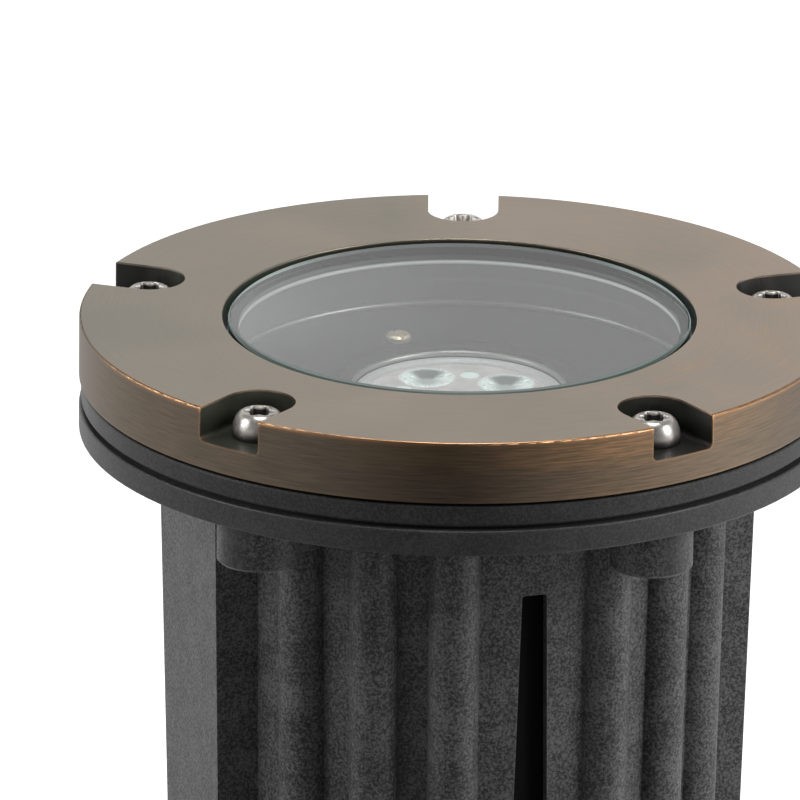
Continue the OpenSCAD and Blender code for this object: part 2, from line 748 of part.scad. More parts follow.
sink_body_r = gimbal_bore_r - gimbal_lip_w - 2 * fit;
z_sink_foot = z_rim_under - sink_len;
base_r = 9;
sink_floor_t = 2;
core_top_r_share = 0.64;                // of the body's radius, at the cup's floor
fin_r_shares = [0.72, 0.93, 1];         // of the body's radius, from the foot up
fin_z_shares = [0.28, 0.52, 0.76];      // of the sink's length

module heat_sink() {
    cup_under = z_cup_floor - sink_floor_t;
    core_top_r = sink_body_r * core_top_r_share;
    color("gainsboro") difference() {
        union() {
            washer(lamp_r, cup_r, z_rim_under, sink_rim_t);
            translate([0, 0, cup_under]) cylinder(r = sink_body_r, h = z_rim - cup_under);
            translate([0, 0, z_sink_foot])
                cylinder(r1 = base_r, r2 = core_top_r, h = cup_under - z_sink_foot);
            intersection() {
                rotate_extrude() polygon(concat(
                    [[0, z_sink_foot], [base_r + fin_t, z_sink_foot]],
                    [for (i = [0:2])
                        [sink_body_r * fin_r_shares[i], z_sink_foot + sink_len * fin_z_shares[i]]],
                    [[0, z_sink_foot + sink_len * fin_z_shares[2]]]));
                for (i = [0:fin_count - 1]) rotate([0, 0, i * 360 / fin_count])
                    translate([0, -fin_t / 2, z_sink_foot]) cube([lamp_r, fin_t, sink_len]);
            }
        }
        translate([0, 0, z_cup_floor]) cylinder(r = cup_r, h = z_rim - z_cup_floor + cut);
    }
}

// Two-pin lamp base, pins and ceramic socket.
base_flange_t = 4;
base_block = [15.5, 9, 8];
base_corner_r = 2;
pin_len = 15;
pin_bury = 5;
socket_block = [18, 12.5, 13];
socket_corner_r = 3;
socket_gap = 0.3;
contact_wall = 0.8;
contact_share = 0.75;   // of the socket's height
contact_len = socket_block[2] * contact_share;
lead_hole_r = 1.2;
z_base = z_sink_foot - base_flange_t;
z_block = z_base - base_block[2];
z_socket_top = z_block - socket_gap;
z_socket = z_socket_top - socket_block[2];

module pin_bores(r, z0, z1) {
    for (side = [-1, 1]) translate([side * pin_pitch / 2, 0, z0]) cylinder(r = r, h = z1 - z0, $fn = 32);
}

// A block with rounded vertical corners, centred on the axis.
module soft_block(size, r) {
    for (x = [-1, 1], y = [-1, 1]) translate([x * (size[0] / 2 - r), y * (size[1] / 2 - r), 0])
        cylinder(r = r, h = size[2], $fn = 32);
    translate([-size[0] / 2, -size[1] / 2 + r, 0]) cube([size[0], size[1] - 2 * r, size[2]]);
    translate([-size[0] / 2 + r, -size[1] / 2, 0]) cube([size[0] - 2 * r, size[1], size[2]]);
}

module lamp_base() {
    color("white") difference() {
        union() {
            translate([0, 0, z_base]) cylinder(r = base_r, h = base_flange_t);
            translate([0, 0, z_block]) soft_block(base_block, base_corner_r);
        }
        pin_bores(pin_d / 2, z_block - cut, z_block + pin_bury);
    }
}

module lamp_pins() {
    top = z_block + pin_bury;
    color("silver") pin_bores(pin_d / 2, top - pin_len, top);
}

module lamp_socket() {
    color("ivory") difference() {
        translate([0, 0, z_socket]) soft_block(socket_block, socket_corner_r);
        pin_bores(pin_d / 2 + running + contact_wall, z_socket_top - contact_len, z_socket_top + cut);
        pin_bores(lead_hole_r, z_socket - cut, z_socket_top);
    }
}

module socket_contacts() {
    color("goldenrod") difference() {
        pin_bores(pin_d / 2 + running + contact_wall, z_socket_top - contact_len, z_socket_top - seat_gap);
        pin_bores(pin_d / 2 + running, z_socket_top - contact_len - cut, z_socket_top + cut);
    }
}

// Cable gland through the floor of the pot.
gland_washer_t = 1.5;
gland_hex_h = 6;
gland_thread_h = 8.5;
gland_stub_h = 9;
locknut_h = 5;
seal_bush_r = 7.1;
seal_bush_h = 12;
seal_bush_rise = 3.5;
gland_land = 1.4;
locknut_step = 2;
nut_grips = 12;
nut_wall = 2.5;
z_hex_top = z_pot_under - gland_washer_t;
z_hex = z_hex_top - gland_hex_h;
z_gland_thread = z_hex - gland_thread_h;
dome_h = 17;
z_dome_top = z_hex - seat_gap;
z_dome = z_dome_top - dome_h;
z_bush = z_dome + seal_bush_rise;
gland_bore_r = cable_d / 2 + gland_land;

module hexagon(width, h) { cylinder(r = width / 2 / cos(30), h = h, $fn = 6); }

module gland_body() {
    color("dimgray") difference() {
        union() {
            translate([0, 0, z_gland_thread]) cylinder(d = gland_d, h = gland_thread_h);
            translate([0, 0, z_hex]) hexagon(gland_hex, gland_hex_h);
            translate([0, 0, z_hex_top])
                cylinder(d = gland_d, h = gland_washer_t + can_floor_t + gland_stub_h);
        }
        translate([0, 0, z_gland_thread - cut]) cylinder(r = gland_bore_r,
            h = z_pot_floor + gland_stub_h - z_gland_thread + 2 * cut);
        translate([0, 0, z_gland_thread - cut]) cylinder(r = seal_bush_r + running,
            h = z_bush + seal_bush_h - z_gland_thread + cut);
    }
}

module gland_washer() {
    color("black") washer(gland_hex / 2 - edge_break, gland_d / 2 + running, z_hex_top, gland_washer_t);
}

module gland_locknut() {
    color("dimgray") difference() {
        translate([0, 0, z_pot_floor]) hexagon(gland_hex + locknut_step, locknut_h);
        translate([0, 0, z_pot_floor - cut]) cylinder(r = gland_d / 2 + running, h = locknut_h + 2 * cut);
    }
}

module gland_seal() {
    color("black") washer(seal_bush_r, cable_d / 2, z_bush, seal_bush_h);
}

module gland_nut() {
    nose_h = dome_h / 3;
    color("dimgray") difference() {
        union() {
            translate([0, 0, z_dome + nose_h])
                cylinder(r = gland_d / 2 + nut_wall, h = dome_h - nose_h, $fn = nut_grips);
            translate([0, 0, z_dome]) rotate_extrude() polygon([
                [0, 0], [seal_bush_r + nut_wall / 2, 0], [gland_d / 2 + nut_wall / 2, nose_h],
                [gland_d / 2 + nut_wall / 2, 2 * nose_h], [0, 2 * nose_h]]);
        }
        translate([0, 0, z_gland_thread - seat_gap]) cylinder(r = gland_d / 2 + running, h = dome_h);
        translate([0, 0, z_bush - seat_gap]) cylinder(r = seal_bush_r + running, h = dome_h);
        translate([0, 0, z_dome - cut]) cylinder(r = gland_bore_r, h = dome_h);
    }
}

cover_ring();
cover_screws();
glass_lens();
lens_seal();
cover_gasket();
canister();
flange_gasket();
ground_sleeve();
threaded_inserts();
snap_ring();
swivel_plate();
pivot_blocks();
block_screws();
gimbal_ring();
pivot_screws();
pivot_washers();
lamp_clip();
lamp_bezel();
lamp_optic();
led_board();
led_chips();
heat_sink();
lamp_base();
lamp_pins();
lamp_socket();
socket_contacts();
gland_body();
gland_washer();
gland_locknut();
gland_seal();
gland_nut();
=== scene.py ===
"""Looks of an in-ground well light: finishes, lights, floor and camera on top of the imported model.

Lengths are in metres in the model's frame: +X is the viewer's right, -Y is towards the viewer and +Z is up.
Colours are linear. A span holds the values where a ramp is 0 and where it is 1.
"""

import logging
import math
from collections.abc import Callable
from dataclasses import dataclass
from enum import Enum
from functools import reduce

import bmesh
import bpy
from mathutils import Matrix, Vector


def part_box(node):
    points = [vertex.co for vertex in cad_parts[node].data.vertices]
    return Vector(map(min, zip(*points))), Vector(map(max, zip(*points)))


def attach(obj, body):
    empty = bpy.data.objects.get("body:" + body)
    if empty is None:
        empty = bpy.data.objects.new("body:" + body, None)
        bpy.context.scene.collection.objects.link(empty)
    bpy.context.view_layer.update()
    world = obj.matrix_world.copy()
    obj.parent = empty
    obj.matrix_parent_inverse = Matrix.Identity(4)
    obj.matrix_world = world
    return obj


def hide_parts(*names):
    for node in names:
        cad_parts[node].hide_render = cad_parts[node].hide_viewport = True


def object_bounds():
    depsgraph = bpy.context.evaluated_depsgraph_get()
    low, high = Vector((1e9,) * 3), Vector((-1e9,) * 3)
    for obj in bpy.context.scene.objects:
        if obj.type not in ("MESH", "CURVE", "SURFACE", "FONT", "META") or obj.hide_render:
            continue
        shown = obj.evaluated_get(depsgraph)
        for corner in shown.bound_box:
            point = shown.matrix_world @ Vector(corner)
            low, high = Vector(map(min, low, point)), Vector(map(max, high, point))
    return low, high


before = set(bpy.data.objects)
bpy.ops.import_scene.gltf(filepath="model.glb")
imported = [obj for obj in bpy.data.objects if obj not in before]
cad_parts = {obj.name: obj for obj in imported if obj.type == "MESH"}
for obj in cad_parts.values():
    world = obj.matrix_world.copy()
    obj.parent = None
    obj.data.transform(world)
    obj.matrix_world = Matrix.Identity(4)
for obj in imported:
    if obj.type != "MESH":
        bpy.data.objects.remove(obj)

CAD_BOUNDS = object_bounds()
LOG = logging.getLogger("well_light")
MM = 0.001
TOP_Z = CAD_BOUNDS[1].z
RING_R = 88.9 * MM
BLACK = (0.0, 0.0, 0.0)
WHITE = (1.0, 1.0, 1.0)

Colour = tuple[float, float, float]
Pair = tuple[float, float]
Span = tuple[float, float]
Spot = tuple[float, float]
Levels = tuple[float, ...]
Row = tuple[Callable[[float], float] | float, float]
Socket = bpy.types.NodeSocket
Value = Socket | float
Tone = Socket | Colour


class Op(Enum):
    """What a maths node works out."""

    PLUS = "ADD"
    MINUS = "SUBTRACT"
    TIMES = "MULTIPLY"
    OVER = "DIVIDE"
    FIT = "MULTIPLY_ADD"
    LEAST = "MINIMUM"
    MOST = "MAXIMUM"
    BELOW = "LESS_THAN"
    ROOT = "SQRT"
    SIZE = "ABSOLUTE"
    ANGLE = "ARCTAN2"
    SLOPE = "ARCSINE"


class Blend(Enum):
    """How two colours are mixed."""

    PLAIN = "MIX"
    TIMES = "MULTIPLY"


class Simple(Enum):
    """Shaders that take a colour and, if they shine, a strength."""

    MATT = "BsdfDiffuse"
    CLEAR = "BsdfTransparent"
    GLOW = "Emission"
    SKY = "Background"


class End(Enum):
    """Output nodes."""

    MATERIAL = "OutputMaterial"
    WORLD = "OutputWorld"


@dataclass(frozen=True)
class Noise:
    """A noise pattern.

    Args:
        scale: cycles per unit of the coordinate.
        detail: octaves.
        rough: strength of the finer octaves.
        warp: distortion.
    """

    scale: float
    detail: float = 4.0
    rough: float = 0.6
    warp: float = 0.0


@dataclass(frozen=True)
class Place:
    """The shaded point in the part's frame.

    Args:
        vector: its three coordinates.
        x: X coordinate.
        y: Y coordinate.
        z: Z coordinate.
        r: distance from the upright axis.
    """

    vector: Socket
    x: Socket
    y: Socket
    z: Socket
    r: Socket


class Graph:
    """A node tree that is built by short calls, each of which gives back a socket."""

    def __init__(self, tree: bpy.types.NodeTree) -> None:
        """Empties the node tree of a material or world."""
        self.tree = tree
        tree.nodes.clear()

    def node(self, kind: str, inputs: dict | None = None, **settings: str | int) -> bpy.types.Node:
        """Adds a node.

        Args:
            kind: the node's class name without its ShaderNode prefix.
            inputs: values or sockets by input name or number.
            settings: attributes of the node.

        Returns:
            The new node.
        """
        made = self.tree.nodes.new("ShaderNode" + kind)
        for name, value in settings.items():
            setattr(made, name, value)
        for name, value in (inputs or {}).items():
            self.feed(made.inputs[name], value)
        return made

    def feed(self, socket: Socket, value: Value | Colour) -> None:
        """Links a socket to the input, or sets a constant on it.

        Args:
            socket: the input.
            value: a socket, a number or a colour.
        """
        if isinstance(value, Socket):
            self.tree.links.new(value, socket)
        elif isinstance(value, tuple) and socket.type == "RGBA" and len(value) == 3:
            socket.default_value = (*value, 1.0)
        else:
            socket.default_value = value

    def calc(self, operation: Op, a: Value, b: Value = 0.0, c: Value = 0.0) -> Socket:
        """Gives the result of a maths node."""
        return self.node("Math", {0: a, 1: b, 2: c}, operation=operation.value).outputs[0]

    def plus(self, a: Value, b: Value) -> Socket:
        """Gives a + b."""
        return self.calc(Op.PLUS, a, b)

    def minus(self, a: Value, b: Value) -> Socket:
        """Gives a - b."""
        return self.calc(Op.MINUS, a, b)

    def over(self, a: Value, b: Value) -> Socket:
        """Gives a / b."""
        return self.calc(Op.OVER, a, b)

    def times(self, *values: Value) -> Socket:
        """Gives the product of the values."""
        return reduce(lambda a, b: self.calc(Op.TIMES, a, b), values)

    def least(self, *values: Value) -> Socket:
        """Gives the smallest of the values."""
        return reduce(lambda a, b: self.calc(Op.LEAST, a, b), values)

    def most(self, a: Value, b: Value) -> Socket:
        """Gives the larger value."""
        return self.calc(Op.MOST, a, b)

    def fit(self, value: Value, scale: Value, shift: Value) -> Socket:
        """Gives value * scale + shift."""
        return self.calc(Op.FIT, value, scale, shift)

    def mix(self, share: Value, a: Tone, b: Tone, blend: Blend = Blend.PLAIN) -> Socket:
        """Mixes two colours.

        Args:
            share: how much of b, from 0 to 1.
            a: first colour.
            b: second colour.
            blend: how they are mixed.

        Returns:
            The mixed colour.
        """
        made = self.node("Mix", data_type="RGBA", blend_type=blend.value)
        for i, value in ((0, share), (6, a), (7, b)):
            self.feed(made.inputs[i], value)
        return made.outputs[2]

    def shaded(self, colour: Tone, shade: Socket) -> Socket:
        """Gives a colour times a level of grey."""
        return self.mix(1.0, colour, self.join(shade, shade, shade), Blend.TIMES)

    def choose(self, share: Socket, a: Value, b: Value) -> Socket:
        """Gives a where share is 0 and b where it is 1."""
        return self.node("Mix", {0: share, 2: a, 3: b}, data_type="FLOAT").outputs[0]

    def layer(self, share: Socket, a: Socket, b: Socket) -> Socket:
        """Gives shader a where share is 0 and shader b where it is 1."""
        return self.node("MixShader", {0: share, 1: a, 2: b}).outputs[0]

    def band(self, value: Socket, span: Span, smooth: bool = True) -> Socket:
        """Makes a ramp from 0 to 1, which is straight where it falls.

        Args:
            value: what is compared.
            span: where the result is 0, and where it is 1.
            smooth: eases both ends of a rising ramp.

        Returns:
            The ramp's level.
        """
        start, end = span
        kind = "SMOOTHSTEP" if smooth and start < end else "LINEAR"
        inputs = {0: value, 1: start, 2: end, 3: 0.0, 4: 1.0}
        return self.node("MapRange", inputs, interpolation_type=kind).outputs[0]

    def hill(self, value: Socket, rise: Span, fall: Span) -> Socket:
        """Gives 1 between two ramps and 0 outside them."""
        return self.times(self.band(value, rise), self.band(value, fall))

    def noise(self, vector: Socket, look: Noise) -> Socket:
        """Gives noise from 0 to 1 at a coordinate."""
        inputs = {"Vector": vector, "Scale": look.scale, "Detail": look.detail}
        return self.node("TexNoise", inputs | {"Roughness": look.rough, "Distortion": look.warp}).outputs[0]

    def position(self) -> Socket:
        """Gives the object coordinate, which is in the part's frame in metres."""
        return self.node("TexCoord").outputs["Object"]

    def place(self) -> Place:
        """Finds the shaded point.

        Returns:
            Its coordinates and its distance from the upright axis.
        """
        vector = self.position()
        x, y, z = self.split(vector)
        return Place(vector, x, y, z, self.radius(x, y))

    def split(self, vector: Socket) -> list[Socket]:
        """Gives the three parts of a vector."""
        return self.node("SeparateXYZ", {0: vector}).outputs

    def join(self, x: Value, y: Value, z: Value) -> Socket:
        """Gives a vector of three values."""
        return self.node("CombineXYZ", {0: x, 1: y, 2: z}).outputs[0]

    def radius(self, x: Socket, y: Socket) -> Socket:
        """Gives the length of (x, y)."""
        return self.calc(Op.ROOT, self.plus(self.times(x, x), self.times(y, y)))

    def nearest(self, at: Place, centres: tuple[Spot, ...]) -> Socket:
        """Gives the distance to the nearest of some upright axes."""
        return self.least(*[self.radius(self.minus(at.x, x), self.minus(at.y, y)) for x, y in centres])

    def edges(self, reach: float, samples: int, turned: Span) -> Socket:
        """Finds edges, where the rounded normal leaves the true one.

        Args:
            reach: how far from an edge the normal is rounded, in metres.
            samples: how many rays look for the edge.
            turned: how far the normal has turned where the line starts, and where it is full.

        Returns:
            A level that is 1 along the edges.
        """
        true = self.node("NewGeometry").outputs["Normal"]
        soft = self.node("Bevel", {"Radius": reach}, samples=samples).outputs[0]
        same = self.node("VectorMath", {0: true, 1: soft}, operation="DOT_PRODUCT").outputs["Value"]
        return self.band(self.minus(1.0, same), turned)

    def compass(self, x: Socket, y: Socket, levels: Levels) -> Socket:
        """Makes a level that depends on the compass direction.

        Args:
            x: X part.
            y: Y part.
            levels: at the left, front left, front, front right, right, back right, back and back left.

        Returns:
            The level.
        """
        share = self.fit(self.calc(Op.ANGLE, y, x), 0.5 / math.pi, 0.5)
        made = self.node("ValToRGB", {0: share})
        peak = max(*levels, 0.001)
        stops = made.color_ramp.elements
        while len(stops) <= len(levels):
            stops.new(0.5)
        for i, stop in enumerate(stops):
            stop.position = i / len(levels)
            level = levels[i % len(levels)] / peak
            stop.color = (level, level, level, 1.0)
        return self.times(made.outputs[0], peak)

    def bump(self, height: Socket, strength: float, depth: float) -> Socket:
        """Gives a normal from a height of 0 to 1 and a depth in metres."""
        return self.node("Bump", {"Strength": strength, "Distance": depth, "Height": height}).outputs[0]

    def shader(self, **inputs: Value | Colour) -> Socket:
        """Gives a principled shader with values by input name, in which _ stands for a space."""
        return self.node("BsdfPrincipled", {k.replace("_", " "): v for k, v in inputs.items()}).outputs[0]

    def simple(self, kind: Simple, colour: Colour, *strength: Value) -> Socket:
        """Gives a simple shader."""
        return self.node(kind.value, dict(enumerate((colour, *strength)))).outputs[0]

    def finish(self, surface: Socket, end: End = End.MATERIAL) -> None:
        """Links a shader to the tree's output."""
        self.tree.links.new(surface, self.node(end.value).inputs["Surface"])


def new_material(name: str) -> tuple[bpy.types.Material, Graph]:
    """Makes an empty material.

    Args:
        name: the material's name.

    Returns:
        The material and its graph.
    """
    material = bpy.data.materials.new(name)
    material.use_nodes = True
    return material, Graph(material.node_tree)


@dataclass(frozen=True)
class PlainFinish:
    """A finish of one colour with fine grain.

    Args:
        name: name of the material.
        colour: base colour.
        rough: roughness.
        metal: metallic share.
        specular: dielectric reflection level.
        grain: the grain.
        mottle: how much the grain changes the colour.
        relief: depth of the grain.
    """

    name: str
    colour: Colour
    rough: float = 0.5
    metal: float = 0.0
    specular: float = 0.5
    grain: Noise = Noise(900.0)
    mottle: float = 0.2
    relief: float = 0.03 * MM

    def material(self) -> bpy.types.Material:
        """Builds the material.

        Returns:
            The material.
        """
        material, g = new_material(self.name)
        grain = g.noise(g.position(), self.grain)
        shade = g.fit(g.minus(grain, 0.5), 2.0 * self.mottle, 1.0)
        g.finish(
            g.shader(
                Base_Color=g.shaded(self.colour, shade),
                Metallic=self.metal,
                Roughness=self.rough,
                Specular_IOR_Level=self.specular,
                Normal=g.bump(grain, 0.5, self.relief),
            )
        )
        return material


@dataclass(frozen=True)
class ScrewFinish:
    """Bright stainless screws with stains, and painted shade in the drive recess and on the foot.

    Args:
        name: name of the material.
        centres: screw axes.
        wall_r: radii across the recess's wall.
        floor_z: heights between which the painted shade in the recess starts and is full.
        foot_z: heights between which the painted shade on the foot starts and is full.
        colour: metal colour.
        rough: roughness.
        metal: metallic share.
        stains: pattern of the stains.
        stained: pattern values of a stain.
        stain: colour of the stains.
        painted_shade: colour of the painted shade in the recess and on the foot.
        shade_y: places along Y where the recesses get a light painted shade, and where they get the full
            one.
        relief: depth of the stains.
    """

    name: str
    centres: tuple[Spot, ...]
    wall_r: Span
    floor_z: Span
    foot_z: Span
    colour: Colour = (0.90, 0.86, 0.81)
    rough: float = 0.3
    metal: float = 0.72
    stains: Noise = Noise(420.0)
    stained: Span = (0.46, 0.66)
    stain: Colour = (0.34, 0.29, 0.25)
    painted_shade: Colour = (0.02, 0.017, 0.014)
    shade_y: Span = (60.0 * MM, 30.0 * MM)
    relief: float = 0.06 * MM

    def material(self) -> bpy.types.Material:
        """Builds the material.

        Returns:
            The material.
        """
        material, g = new_material(self.name)
        at = g.place()
        # Painted shade: the drive recess, darkest at the front, and the head's foot.
        recess = g.times(g.band(g.nearest(at, self.centres), self.wall_r), g.band(at.z, self.floor_z))
        recess_shade = g.times(recess, g.fit(g.band(at.y, self.shade_y), 0.7, 0.3))
        foot = g.times(g.band(at.z, self.foot_z), 0.88)
        stain = g.band(g.noise(at.vector, self.stains), self.stained)
        colour = g.mix(g.times(stain, 0.42), self.colour, self.stain)
        g.finish(
            g.shader(
                Base_Color=g.mix(g.most(recess_shade, foot), colour, self.painted_shade),
                Metallic=g.fit(recess_shade, -0.4, self.metal),
                Roughness=g.fit(recess_shade, 0.4, self.rough),
                Normal=g.bump(stain, 0.3, self.relief),
            )
        )
        return material


@dataclass(frozen=True)
class GrainedMoulding:
    """Black moulding with a cloudy, grainy grey skin, a thin painted highlight along its edges and, where
    deep_r is set, painted shade that makes its inner part black.

    Args:
        name: name of the material.
        dark: grey of the low spots.
        pale: grey of the rubbed spots.
        rough: roughness.
        edge: strength of the painted highlight along the edges, from 0 to 1.
        specular: reflection level.
        relief: depth of the grain.
        deep_r: radius inside which painted shade makes the skin black, or 0.
        deep_w: width of the change to black.
        flange_r: radius beyond which the skin is smoother and darker, or 0.
        flange_w: width of the change to the smooth skin.
        fine: the grain.
        cloud: the clouds.
        cloudy: share of the clouds in the pattern.
        contrast: pattern values of the low and of the rubbed spots.
        edge_w: width of the painted edge highlight.
        turned: how far the normal turns across them.
        line: colour of the painted edge highlight.
        deep_shade: colour of the painted shade inside deep_r.
    """

    name: str
    dark: float
    pale: float
    rough: float
    edge: float
    specular: float = 0.5
    relief: float = 0.09 * MM
    deep_r: float = 0.0
    deep_w: float = 1.0 * MM
    flange_r: float = 0.0
    flange_w: float = 2.0 * MM
    fine: Noise = Noise(1500.0, 4.0, 0.8)
    cloud: Noise = Noise(120.0, 4.0, 0.55, 0.4)
    cloudy: float = 0.18
    contrast: Span = (0.425, 0.595)
    edge_w: float = 0.5 * MM
    turned: Span = (0.01, 0.06)
    line: Colour = (0.30, 0.30, 0.30)
    deep_shade: Colour = (0.002, 0.002, 0.002)

    def material(self) -> bpy.types.Material:
        """Builds the material.

        Returns:
            The material.
        """
        material, g = new_material(self.name)
        at = g.place()
        fine, cloud = g.noise(at.vector, self.fine), g.noise(at.vector, self.cloud)
        pattern = g.plus(g.times(fine, 1.0 - self.cloudy), g.times(cloud, self.cloudy))
        dark, pale = (self.dark,) * 3, (self.pale,) * 3
        colour = g.mix(g.band(pattern, self.contrast), dark, pale)
        rough = g.fit(cloud, 0.16, self.rough - 0.08)
        if self.flange_r:
            calm = g.band(at.r, (self.flange_r, self.flange_r + self.flange_w))
            smooth = g.mix(0.36, BLACK, g.mix(0.5, dark, pale))
            colour = g.mix(g.times(calm, 0.75), colour, smooth)
            rough = g.fit(calm, -0.14, rough)
        # Painted shade: the skin turns black inside deep_r.
        if self.deep_r:
            inside = g.band(at.r, (self.deep_r + self.deep_w, self.deep_r))
            colour = g.mix(inside, colour, self.deep_shade)
            rough = g.most(rough, g.times(inside, 0.95))
        # Painted highlight: a thin pale line along the edges.
        line = g.times(g.edges(self.edge_w, 4, self.turned), self.edge)
        g.finish(
            g.shader(
                Base_Color=g.mix(line, colour, self.line),
                Roughness=rough,
                Specular_IOR_Level=self.specular,
                Normal=g.bump(fine, 0.6, self.relief),
            )
        )
        return material


@dataclass(frozen=True)
class BronzeFinish:
    """Brushed, oiled bronze with patina patches, bright edges that are partly rubbed through and partly a
    painted highlight, and painted shade in its recesses.

    Args:
        name: name of the material.
        brown: warm metal colour.
        green: colour of the grey-green patina.
        side: colour of the dark outer side on the left.
        side_warm: colour of the outer side right of the middle.
        copper: colour of rubbed spots of the top.
        rubbed: colour of rubbed streaks of the side.
        worn: colour of the bright edges, partly rubbed metal and partly a painted highlight.
        bore: painted shade inside the bore and the front left notch.
        front_right: painted shade inside the front right notch.
        far_left: painted shade inside the left notch.
        far_right: painted shade inside the right notch, lighter than the others.
        rough: roughness of the open faces.
        brush: pattern of the brushing.
        brush_turns: its cycles per radian round the ring.
        brush_fine: its cycles per metre across the streaks.
        broad: pattern of the patina.
        blotch: pattern of the rubbed spots.
        nicks: pattern that breaks up the bright edges.
        bloomed, spotted, streaked, nicked: pattern values of patina, spots, streaks and bright edges.
        right_x: from the left tones to the right ones.
        warm_x, warm_end_x: where the side's warm tone rises and falls.
        rubbed_x, rubbed_end_x: where the side's rubbed streaks rise and fall.
        upper_z: from the lower to the upper part of the side.
        lip_z, lip_y: the rubbed line under the upper edge, and the front that shows it.
        outer_r: from the top's tones to the side's.
        inner_r, sunk_z: from the open faces to those of the bore and the notches.
        far_x: from the front notches to the left and right ones.
        edge_w: width of the bright edges.
        turned: how far the normal turns across them.
        worn_y: from the middle to the front, where the bright edges show.
        rim_r, notch_r: from no bright edge to that of the outer edge, and to that of the notches.
        high_z: from the lower edges, whose faint line is a painted highlight, to the upper ones.
        relief: depth of the brushing.
    """

    name: str
    brown: Colour = (0.55, 0.43, 0.33)
    green: Colour = (0.364, 0.345, 0.286)
    side: Colour = (0.235, 0.19, 0.145)
    side_warm: Colour = (0.31, 0.222, 0.14)
    copper: Colour = (0.66, 0.42, 0.25)
    rubbed: Colour = (0.58, 0.32, 0.175)
    worn: Colour = (0.94, 0.51, 0.245)
    bore: Colour = (0.062, 0.067, 0.05)
    front_right: Colour = (0.028, 0.028, 0.026)
    far_left: Colour = (0.034, 0.034, 0.033)
    far_right: Colour = (0.062, 0.062, 0.06)
    rough: float = 0.36
    brush: Noise = Noise(1.0, 4.0, 0.7)
    brush_turns: float = 9.0
    brush_fine: float = 2600.0
    broad: Noise = Noise(16.0, 3.0, 0.5, 0.3)
    blotch: Noise = Noise(75.0, 4.0, 0.6, 0.5)
    nicks: Noise = Noise(330.0, 4.0, 0.65)
    bloomed: Span = (0.30, 0.78)
    spotted: Span = (0.52, 0.72)
    streaked: Span = (0.38, 0.62)
    nicked: Span = (0.25, 0.48)
    right_x: Span = (-5.0 * MM, 70.0 * MM)
    warm_x: Span = (-35.0 * MM, -2.0 * MM)
    warm_end_x: Span = (80.0 * MM, 45.0 * MM)
    rubbed_x: Span = (-5.0 * MM, 30.0 * MM)
    rubbed_end_x: Span = (75.0 * MM, 40.0 * MM)
    upper_z: Span = (TOP_Z - 9.5 * MM, TOP_Z - 3.5 * MM)
    lip_z: Span = (TOP_Z - 1.7 * MM, TOP_Z - 0.4 * MM)
    lip_y: Span = (-30.0 * MM, -60.0 * MM)
    outer_r: Span = (RING_R - 0.55 * MM, RING_R - 0.2 * MM)
    inner_r: Span = (RING_R - 0.15 * MM, RING_R - 0.4 * MM)
    sunk_z: Span = (TOP_Z - 0.25 * MM, TOP_Z - 0.6 * MM)
    far_x: Span = (62.0 * MM, 74.0 * MM)
    edge_w: float = 0.9 * MM
    turned: Span = (0.006, 0.04)
    worn_y: Span = (-20.0 * MM, -50.0 * MM)
    rim_r: Span = (RING_R - 2.1 * MM, RING_R - 1.1 * MM)
    notch_r: Span = (66.0 * MM, 70.0 * MM)
    high_z: Span = (TOP_Z - 1.6 * MM, TOP_Z - 0.8 * MM)
    relief: float = 0.03 * MM

    def brushing(self, g: Graph, at: Place) -> Socket:
        """Makes fine streaks that run round the ring.

        Args:
            g: the graph.
            at: the shaded point.

        Returns:
            Their pattern, from 0 to 1.
        """
        turn = g.calc(Op.ANGLE, at.x, g.times(at.y, -1.0))
        across = g.times(at.r, self.brush_fine), g.times(at.z, self.brush_fine)
        return g.noise(g.join(g.times(turn, self.brush_turns), *across), self.brush)

    def top(self, g: Graph, at: Place, broad: Socket, right: Socket) -> Socket:
        """Paints the top: brown, with a grey-green bloom that is stronger on the left.

        Args:
            g: the graph.
            at: the shaded point.
            broad: the patina's pattern.
            right: 0 on the left and 1 on the right.

        Returns:
            The top's colour.
        """
        bloom = g.fit(broad, 0.5, g.fit(at.x, -1.1, 0.25))
        colour = g.mix(g.band(bloom, self.bloomed), self.brown, self.green)
        spots = g.band(g.noise(at.vector, self.blotch), self.spotted)
        return g.mix(g.times(spots, g.times(right, 0.35)), colour, self.copper)

    def outside(self, g: Graph, at: Place, streak: Socket) -> Socket:
        """Paints the outer side: dark, with rubbed copper right of the middle and under the edge.

        Args:
            g: the graph.
            at: the shaded point.
            streak: the brushing.

        Returns:
            The side's colour.
        """
        upper = g.fit(g.band(at.z, self.upper_z), 0.75, 0.25)
        warm = g.times(g.hill(at.x, self.warm_x, self.warm_end_x), upper)
        copper = g.times(g.hill(at.x, self.rubbed_x, self.rubbed_end_x), upper)
        rubbed = g.times(g.band(streak, self.streaked), g.fit(copper, 0.7, 0.05))
        lip = g.times(g.band(at.z, self.lip_z), g.band(at.y, self.lip_y), 0.45)
        return g.mix(g.most(rubbed, lip), g.mix(warm, self.side, self.side_warm), self.rubbed)

    def shadow(self, g: Graph, at: Place, right: Socket) -> Socket:
        """Paints shade on the bore and on the notches' walls and floors.

        Args:
            g: the graph.
            at: the shaded point.
            right: 0 on the left and 1 on the right.

        Returns:
            Their colour.
        """
        far = g.band(g.calc(Op.SIZE, at.x), self.far_x)
        front = g.mix(right, self.bore, self.front_right)
        return g.mix(far, front, g.mix(right, self.far_left, self.far_right))

